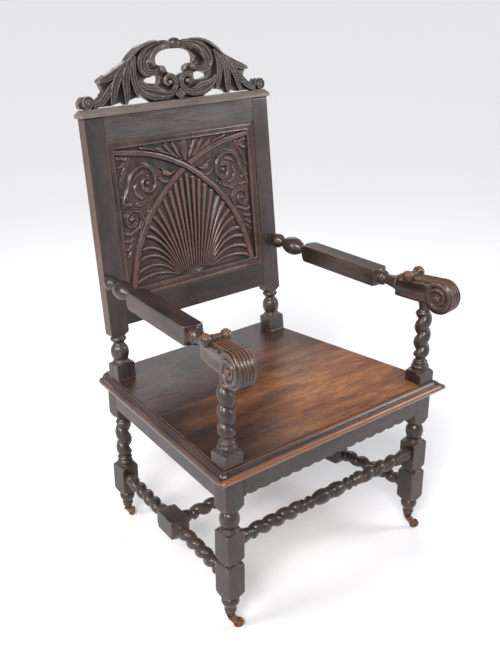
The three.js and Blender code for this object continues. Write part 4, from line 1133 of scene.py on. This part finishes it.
def slab(points, front_v, back_v):
    """A flat board on the back with a given outline, over the foot of the crest."""
    return on_back([[(x, v, CREST_U + z) for x, z in points] for v in (front_v, back_v)])


parts = []
for turn in (1, -1):
    add_tube(parts, slab([(turn * x, z) for x, z in crest_ground], GROUND_FRONT, GROUND_BACK))
    for line, widths, face, *shape in CREST_STRIPS:
        points = np.array(fine_line(line, 3) if len(line) < 20 else line)
        points = points * np.array([turn, 1]) + np.array([0, CREST_U])
        add_tube(parts, on_back(swept(points, widths, face, STRIP_BACK, *shape)))
    for x, z, r in ((48, 78, 9), (27, 44, 6), (272, 14, 5)):
        add_tube(parts, ball_rings(on_back([turn * x, 2, CREST_U + z]), (r, r, r)))
add_tube(parts, ball_rings(on_back([0, 8, CREST_U + 137]), (18.5, 17, 15.8), 18, 32))
# Two lozenges, one on the other, below the middle
for half, low_end, high_end, face in ((17, -1, 27, -3.5), (11, 4, 22, -5.5)):
    middle = (low_end + high_end) / 2
    add_tube(parts, slab([(0, low_end), (half, middle), (0, high_end), (-half, middle)], face, 24))
crest = fused("crest_carving", parts, 1.25, 0.62)

# %% Openings of the crest
# They are sawn right through
SAW_FRONT, SAW_BACK = -30, 60
saws = []
middle_hole = crest_hole + [(-x, z) for x, z in crest_hole[-2:0:-1]]
for outline in (middle_hole, side_hole, [(-x, z) for x, z in side_hole]):
    loop = np.array(outline, float)
    for _ in range(2):
        after = np.roll(loop, -1, axis=0)
        loop = np.stack([0.75 * loop + 0.25 * after, 0.25 * loop + 0.75 * after], 1).reshape(-1, 2)
    add_tube(saws, slab(loop, SAW_FRONT, SAW_BACK))
saw = joined("saw", saws)
cut = crest.modifiers.new("openings", "BOOLEAN")
cut.operation = "DIFFERENCE"
cut.solver = "EXACT"
cut.object = saw
applied(crest)
bpy.data.objects.remove(saw)
weather_and_shade(crest, 9, broad=True)
dress(crest, "crest", oak_crest)
print("crest faces", len(crest.data.polygons))

# %% [markdown]
# The arms start at the back post with a ball and a long onion, go on as a square bar with eased
# arrises, and end in the carved hand rest. The turned and square part is one length of wood.

# %% Line of the arms
ARM_BACK = (281.0, BACK_Y + (736 - SEAT_TOP) * math.tan(RAKE) - 0.6, 736.0)
ARM_FRONT = (304.5, -127.0, 721.0)
ARM_LENGTH = float(np.linalg.norm(np.array(ARM_FRONT) - np.array(ARM_BACK)))
ARM_LINE = [(0.4, 13), (3, 15), (8, 18.6), (19, 20.6), (28, 18.8), (35, 14), (39, 10.8), (42, 10.8), (46, 13),
            (55, 19.5), (67, 24), (80, 25.4), (92, 24), (104, 19), (112, 14), (117, 11.8), (121, 11.8),
            (125, 14), (132, 21), (142, 31), (150, 39), (152, 48)]
ARM_LINE += [(ARM_LENGTH + h, r) for h, r in (
    (-12, 48), (-11, 40), (-6, 31), (-2, 22), (1, 16.5), (4, 17.5), (9, 20.4), (14, 18), (18, 14), (23, 13.4),
    (34, 15), (58, 19))]
print("arm length", round(ARM_LENGTH, 1), "mm")

# %% [markdown]
# The hand rest is a fat scroll. Its reeds run level from under a roll, over the front and in under it,
# and a flat band winds in to an eye on each cheek. The reeds are one skin swept along that path,
# with waves across its width, and the rest are bands and balls that a voxel remesh fuses with it.

# %% Rings of the hand rest
EYE_S, EYE_Z, EYE_R = 47.0, 711.0, 43.0
ROLL_S, ROLL_Z = -40, 750
HAND_TURN = math.atan2(24, 174)


def hand_point(x, s, z):
    """Points of the right hand rest: x across it, s forward of the support, z over the floor."""
    px = x * math.cos(HAND_TURN) + s * math.sin(HAND_TURN)
    py = x * math.sin(HAND_TURN) - s * math.cos(HAND_TURN)
    return np.stack([ARM_SUPPORT[0] + px, ARM_SUPPORT[1] + py, z + 0 * px], -1)


def ring_of(x, s, z, reach, count=28, squash=1.0):
    """A circle round an axis that runs across the hand rest."""
    b = around_circle(count)
    return hand_point(x, s + reach * np.cos(b), z + reach * squash * np.sin(b))


def oval_rod(x, s, z, half_x, half_z, count):
    """Rings of a rod that runs forward, half_x wide and half_z high."""
    b = around_circle(count)
    return hand_point(x + half_x * np.cos(b), s, z + half_z * np.sin(b))


def wound_band(sign, line, x_ends, wide_ends, thick, power, count):
    """Rings of a band that winds on a cheek along a line; power 2 makes it round, 4 nearly square."""
    line = np.array(line)
    way = np.gradient(line, axis=0)
    way /= np.linalg.norm(way, axis=1)[:, None]
    t = np.linspace(0, 1, len(line))[:, None]
    b = around_circle(count)
    k = (np.abs(np.cos(b)) ** power + np.abs(np.sin(b)) ** power) ** (-1 / power)
    off = (wide_ends[0] + (wide_ends[1] - wide_ends[0]) * t) * np.cos(b) * k
    x = x_ends[0] + (x_ends[1] - x_ends[0]) * t + thick * np.sin(b) * k
    return hand_point(sign * x, line[:, :1] - way[:, 1:] * off, line[:, 1:] + way[:, :1] * off)


print("eye stands at", hand_point(0, EYE_S, EYE_Z).round(1))

# %% Block and reeds of the hand rest
def hand_block():
    """The block behind the scroll, hollowed a little on both sides."""
    foot = 687.2
    s = np.linspace(-81, 20, 26)[:, None]
    t = (s + 81) / 101
    half = 17 + 5.5 * np.clip(t * 1.6, 0, 1) ** 0.7
    top = 741.5 + 2 * np.clip((s + 45) / 50, 0, 1)
    c, q = np.cos(around_circle(48)), np.sin(around_circle(48))
    k = (np.abs(c) ** 9 + np.abs(q) ** 9) ** (-1 / 9)
    z = (top + foot) / 2 + (top - foot) / 2 * q * k
    waist = 3.2 * np.exp(-((z - 714) / 13) ** 2) * np.clip(t * 3, 0, 1)
    return hand_point((half - waist) * c * k, s, z)


def hand_reeds(reeds=5, half=20.5, depth=4.2):
    """Reeds from the underside round the front of the scroll, then level back to the roll."""
    a = np.linspace(math.radians(204), math.radians(450), 84)
    level = np.linspace(EYE_S - 2, ROLL_S + 2, 30)
    top = EYE_Z + EYE_R
    path = [(EYE_S + EYE_R * c, EYE_Z + EYE_R * q, c, q, 30.0) for c, q in zip(np.cos(a), np.sin(a))]
    path += [(s, top - 4 * (EYE_S - s) / 83, 0.0, 1.0, 24.0) for s in level]
    s, z, way_s, way_z, deep = (column[:, None] for column in np.array(path).T)
    c = np.linspace(-1, 1, 76)
    off = depth * np.abs(np.sin((c + 1) / 2 * math.pi * reeds)) ** 0.55 - depth
    face = hand_point(c * half, s + way_s * off, z + way_z * off)
    under = hand_point(c[::-1][3:-3:6] * half, s - way_s * deep, z - way_z * deep)
    return np.concatenate([face, under], 1)


print("reeds", hand_reeds().shape[:2], "rings and points")

# %% Cheeks, roll and leaves of the hand rest
def hand_cheek(sign):
    """What lies on one cheek: the spiral with its eye, the rim of the block, the coil of the roll."""
    cheek = [ring_of(sign * x, EYE_S, EYE_Z, r, 40) for x, r in ((12, 36), (21.5, 36), (22.2, 34))]
    spiral = arc_line((EYE_S, EYE_Z), 36.5, 15, 2.2, -7.4, 84)
    eye = [ring_of(sign * x, EYE_S - 1, EYE_Z - 1, r, squash=0.85)
           for x, r in ((18, 9.5), (25.5, 9.5), (27.6, 8), (28.4, 4.5))]
    t = np.linspace(0, 1, 26)[:, None]
    rim_z = 735 - 2 * np.sin(t * math.pi) + 6 * t
    rim = oval_rod(sign * (20.5 + 1.5 * t), -66 + 72 * t, rim_z, sign * 3.2, 4.2, 14)
    coil = arc_line((ROLL_S, ROLL_Z), 10.2, 2.5, 0, 9.5, 60)
    spiral_band = wound_band(sign, spiral, (22.4, 22.4), (5.6, 4.4), 3.6, 4, 18)
    coil_band = wound_band(sign, coil, (33.8, 36.6), (1.9, 1.9), 1.6, 2, 10)
    return [np.array(cheek), spiral_band, np.array(eye), rim, coil_band]


def hand_roll():
    """The roll: a ball at each end and a ringed neck between them."""
    roll = [(-37, 2), (-36.6, 6), (-35, 11), (-30.5, 14.8), (-25, 16.2), (-19.5, 14.8), (-15.6, 11),
            (-14.6, 8.6)]
    neck = [(x, 8.2 + 1.5 * abs(math.sin((x + 15) / 30 * math.pi * 6)) ** 0.7)
            for x in np.linspace(-14.4, 14.4, 49)]
    line = roll + neck + [(-x, r) for x, r in roll[::-1]]
    return np.array([ring_of(x, ROLL_S, ROLL_Z, r) for x, r in line])


def hand_leaves():
    """Three slim leaves that run back from the roll to the square arm."""
    t = np.linspace(0, 1, 18)[:, None]
    return [oval_rod(x, -80 + 38 * t, 739.5 + 7 * t ** 1.6, w * (0.5 + 0.5 * t), 3.6, 12)
            for x, w in ((-11.5, 4.6), (0, 5.2), (11.5, 4.6))]


hand_parts = []
for rings in (hand_block(), hand_reeds(), *hand_cheek(-1), *hand_cheek(1), hand_roll(), *hand_leaves()):
    add_tube(hand_parts, rings)
print("parts of a hand rest", len(hand_parts))

# %% Arms
ARM_SQUARE = [(120, ARM_LENGTH + 1, 25.4, 23)]
arm_rings = laid_along(length_of_wood(ARM_LINE, ARM_SQUARE), ARM_BACK, ARM_FRONT)
for side, sign in SIDES:
    hand = fused(f"hand_{side}", hand_parts, 1.1, 0.7)
    weather_and_shade(hand, 8, broad=True)
    rod = tube(f"arm_rod_{side}", arm_rings)
    weather_and_shade(rod)
    both = bmesh.new()
    both.from_mesh(hand.data)
    both.from_mesh(rod.data)
    whole = bpy.data.meshes.new(f"arm_{side}_wood")
    both.to_mesh(whole)
    both.free()
    arm = bpy.data.objects.new(f"arm_{side}_wood", whole)
    bpy.context.scene.collection.objects.link(arm)
    for piece in (hand, rod):
        bpy.data.objects.remove(piece)
    # The left arm is the right one turned over
    if sign < 0:
        arm.data.transform(Matrix.Scale(-1, 4, (1, 0, 0)))
        arm.data.flip_normals()
    arm.data.shade_smooth()
    dress(arm, f"arm_{side}", oak_arm)
    print(arm.name, len(arm.data.polygons), "faces")

# %% [markdown]
# The casters are small tarnished brass ones: a plate under the foot, a horn that swings, and a wheel.
# Brass goes brown and dull where nobody touches it and stays yellower on the rim that rolls; the
# finish mixes the two in blotches by noise.

# %% Caster metal
def brass_finish(name, bright, dull, gloss):
    """Old brass, yellower and glossier in blotches."""
    r = Recipe(name)
    blotch = r.noise((1, 1, 1), 160, 5, 0.65)
    mask = r.ramp(blotch, (0.38, 0.0), (0.64, 1.0))
    r.feed(r.shader["Base Color"], r.mix(mask, dull, bright))
    r.feed(r.shader["Roughness"], r.less(gloss + 0.2, r.times(mask, 0.2)))
    r.feed(r.shader["Metallic"], 0.9)
    r.bump(blotch, 0.3, 0.0004)
    return r.material


horn_brass = brass_finish("brass_old", (0.27, 0.15, 0.085), (0.06, 0.036, 0.026), 0.34)
wheel_brass = brass_finish("brass_wheel", (0.34, 0.15, 0.09), (0.10, 0.046, 0.032), 0.3)
print("brass finishes", horn_brass.name, wheel_brass.name)

# %% [markdown]
# A turned wheel has a rounded tread and a hub, so it is drawn from a section and turned about the axle.
# The plates and horns keep their solids, with the edges eased.

# %% Casters
WHEEL_R, TRAIL = 13.5, 20.0
CASTERS = {"front_left": (-FRONT_LEG[0], FRONT_LEG[1], -23), "front_right": (*FRONT_LEG, -33),
           "rear_left": (-REAR_LEG[0], REAR_LEG[1], 28), "rear_right": (*REAR_LEG, 8)}
WHEEL_SECTION = [(3.0, -4.5), (5.5, -4.5), (6.2, -3.4), (9.6, -3.2), (10.8, -4.4), (12.4, -4.3), (13.3, -3.0),
                 (WHEEL_R, 0), (13.3, 3.0), (12.4, 4.3), (10.8, 4.4), (9.6, 3.2), (6.2, 3.4), (5.5, 4.5),
                 (3.0, 4.5)]


def wheel(name, x, y, turn):
    """The wheel's section, turned about an axle at (x, y) that lies across the way it rolls."""
    r, w = np.array(WHEEL_SECTION).T
    a = around_circle(40)[:, None]
    ahead = r * np.cos(a)
    rings = np.stack([x + ahead * math.cos(turn) - w * math.sin(turn),
                      y + ahead * math.sin(turn) + w * math.cos(turn), WHEEL_R + r * np.sin(a)], -1)
    grid = np.arange(ahead.size).reshape(ahead.shape)
    beside, after = np.roll(grid, -1, 1), np.roll(grid, -1, 0)
    faces = np.stack([grid, beside, np.roll(beside, -1, 0), after], -1).reshape(-1, 4).tolist()
    obj = new_piece(name, placed(rings), faces)
    face_outwards(obj)
    return obj


for place, (x, y, degrees) in CASTERS.items():
    turn = math.radians(degrees)
    tread = wheel(f"wheel_{place}", x + TRAIL * math.cos(turn), y + TRAIL * math.sin(turn), turn)
    dress(tread, f"caster_wheel_{place}", wheel_brass, f"wheel_{place}")
    for part, width, body in (("horn", 0.7, f"horn_{place}"), ("plate", 0.4, "chair")):
        softened(f"{part}_{place}", f"caster_{part}_{place}", horn_brass, horn_brass, width,
                 body=body)
print("casters", len(CASTERS))

# %% [markdown]
# The chair stands in a plain studio: a pale floor that runs out of sight, a broad soft light above and
# to the left, a weaker one from the right, and an even pale surround.

# %% Floor and surround
FLOOR = [(-30, -30, 0), (30, -30, 0), (30, 30, 0), (-30, 30, 0)]
floor = new_piece("floor", FLOOR, [[0, 1, 2, 3]], smooth=False)
floor_finish = bpy.data.materials.new("pale_floor")
floor_finish.use_nodes = True
floor_shader = floor_finish.node_tree.nodes["Principled BSDF"]
floor_shader.inputs["Base Color"].default_value = (0.93, 0.92, 0.925, 1)
floor_shader.inputs["Roughness"].default_value = 0.7
floor.data.materials.append(floor_finish)

world = bpy.data.worlds.new("surround")
bpy.context.scene.world = world
world.use_nodes = True
background = world.node_tree.nodes["Background"]
background.inputs["Color"].default_value = (0.93, 0.94, 0.97, 1)
background.inputs["Strength"].default_value = 0.43

print("surround strength", round(background.inputs["Strength"].default_value, 2))

# %% Lights
def lamp(name, kind, place, aim_height, power, colour=(1, 1, 1), **settings):
    """A light of one kind, aimed at a height over the middle of the chair."""
    data = bpy.data.lights.new(name, kind)
    data.energy = power
    data.color = colour
    for key, value in settings.items():
        setattr(data, key, value)
    made = bpy.data.objects.new(name, data)
    bpy.context.scene.collection.objects.link(made)
    made.location = place
    aim = Vector((0, 0, aim_height)) - Vector(place)
    made.rotation_euler = aim.to_track_quat("-Z", "Y").to_euler()


lamp("light_even", "SUN", (-2.0, -1.5, 2.5), 0.5, 2.55, angle=math.radians(24))
for name, place, aim_height, size, size_y, power, colour in (
        ("light_left", (-2.6, 0.3, 1.9), 0.6, 0.9, 1.5, 42, (1, 0.98, 0.95)),
        ("light_right", (2.2, -1.6, 1.9), 0.6, 0.8, 1.4, 30, (0.96, 0.97, 1)),
        ("light_behind", (1.2, 2.2, 2.0), 0.5, 1.6, 1.0, 11, (0.97, 0.98, 1))):
    lamp(name, "AREA", place, aim_height, power, colour, shape="RECTANGLE", size=size, size_y=size_y)
bpy.context.scene.view_settings.view_transform = "Standard"
print("lights", len(bpy.data.lights))

# %% [markdown]
# The camera stands where the photograph was taken from, high and to the left of the chair's front.
# Its place, aim and lens come from fitting the chair's corners, so they are used as they are.

# %% Camera
camera_data = bpy.data.cameras.new("camera")
camera_data.sensor_width = 36
camera_data.lens = 896.62 * 36 / 667
camera = bpy.data.objects.new("camera", camera_data)
bpy.context.scene.collection.objects.link(camera)
yaw, pitch, roll = math.radians(-39.947), math.radians(22.948), math.radians(-0.114)
forward = Vector((math.sin(-yaw) * math.cos(pitch), math.cos(yaw) * math.cos(pitch), -math.sin(pitch)))
right = forward.cross(Vector((0, 0, 1))).normalized()
up = right.cross(forward)
right_rolled = right * math.cos(roll) + up * math.sin(roll)
up_rolled = up * math.cos(roll) - right * math.sin(roll)
turned = Matrix((right_rolled, up_rolled, -forward)).transposed().to_4x4()
camera.matrix_world = Matrix.Translation((-1.38855, -1.61244 + SHIFT_Y, 1.50223)) @ turned
bpy.context.scene.camera = camera
bpy.context.view_layer.update()
print("camera at", [round(v, 3) for v in camera.location])
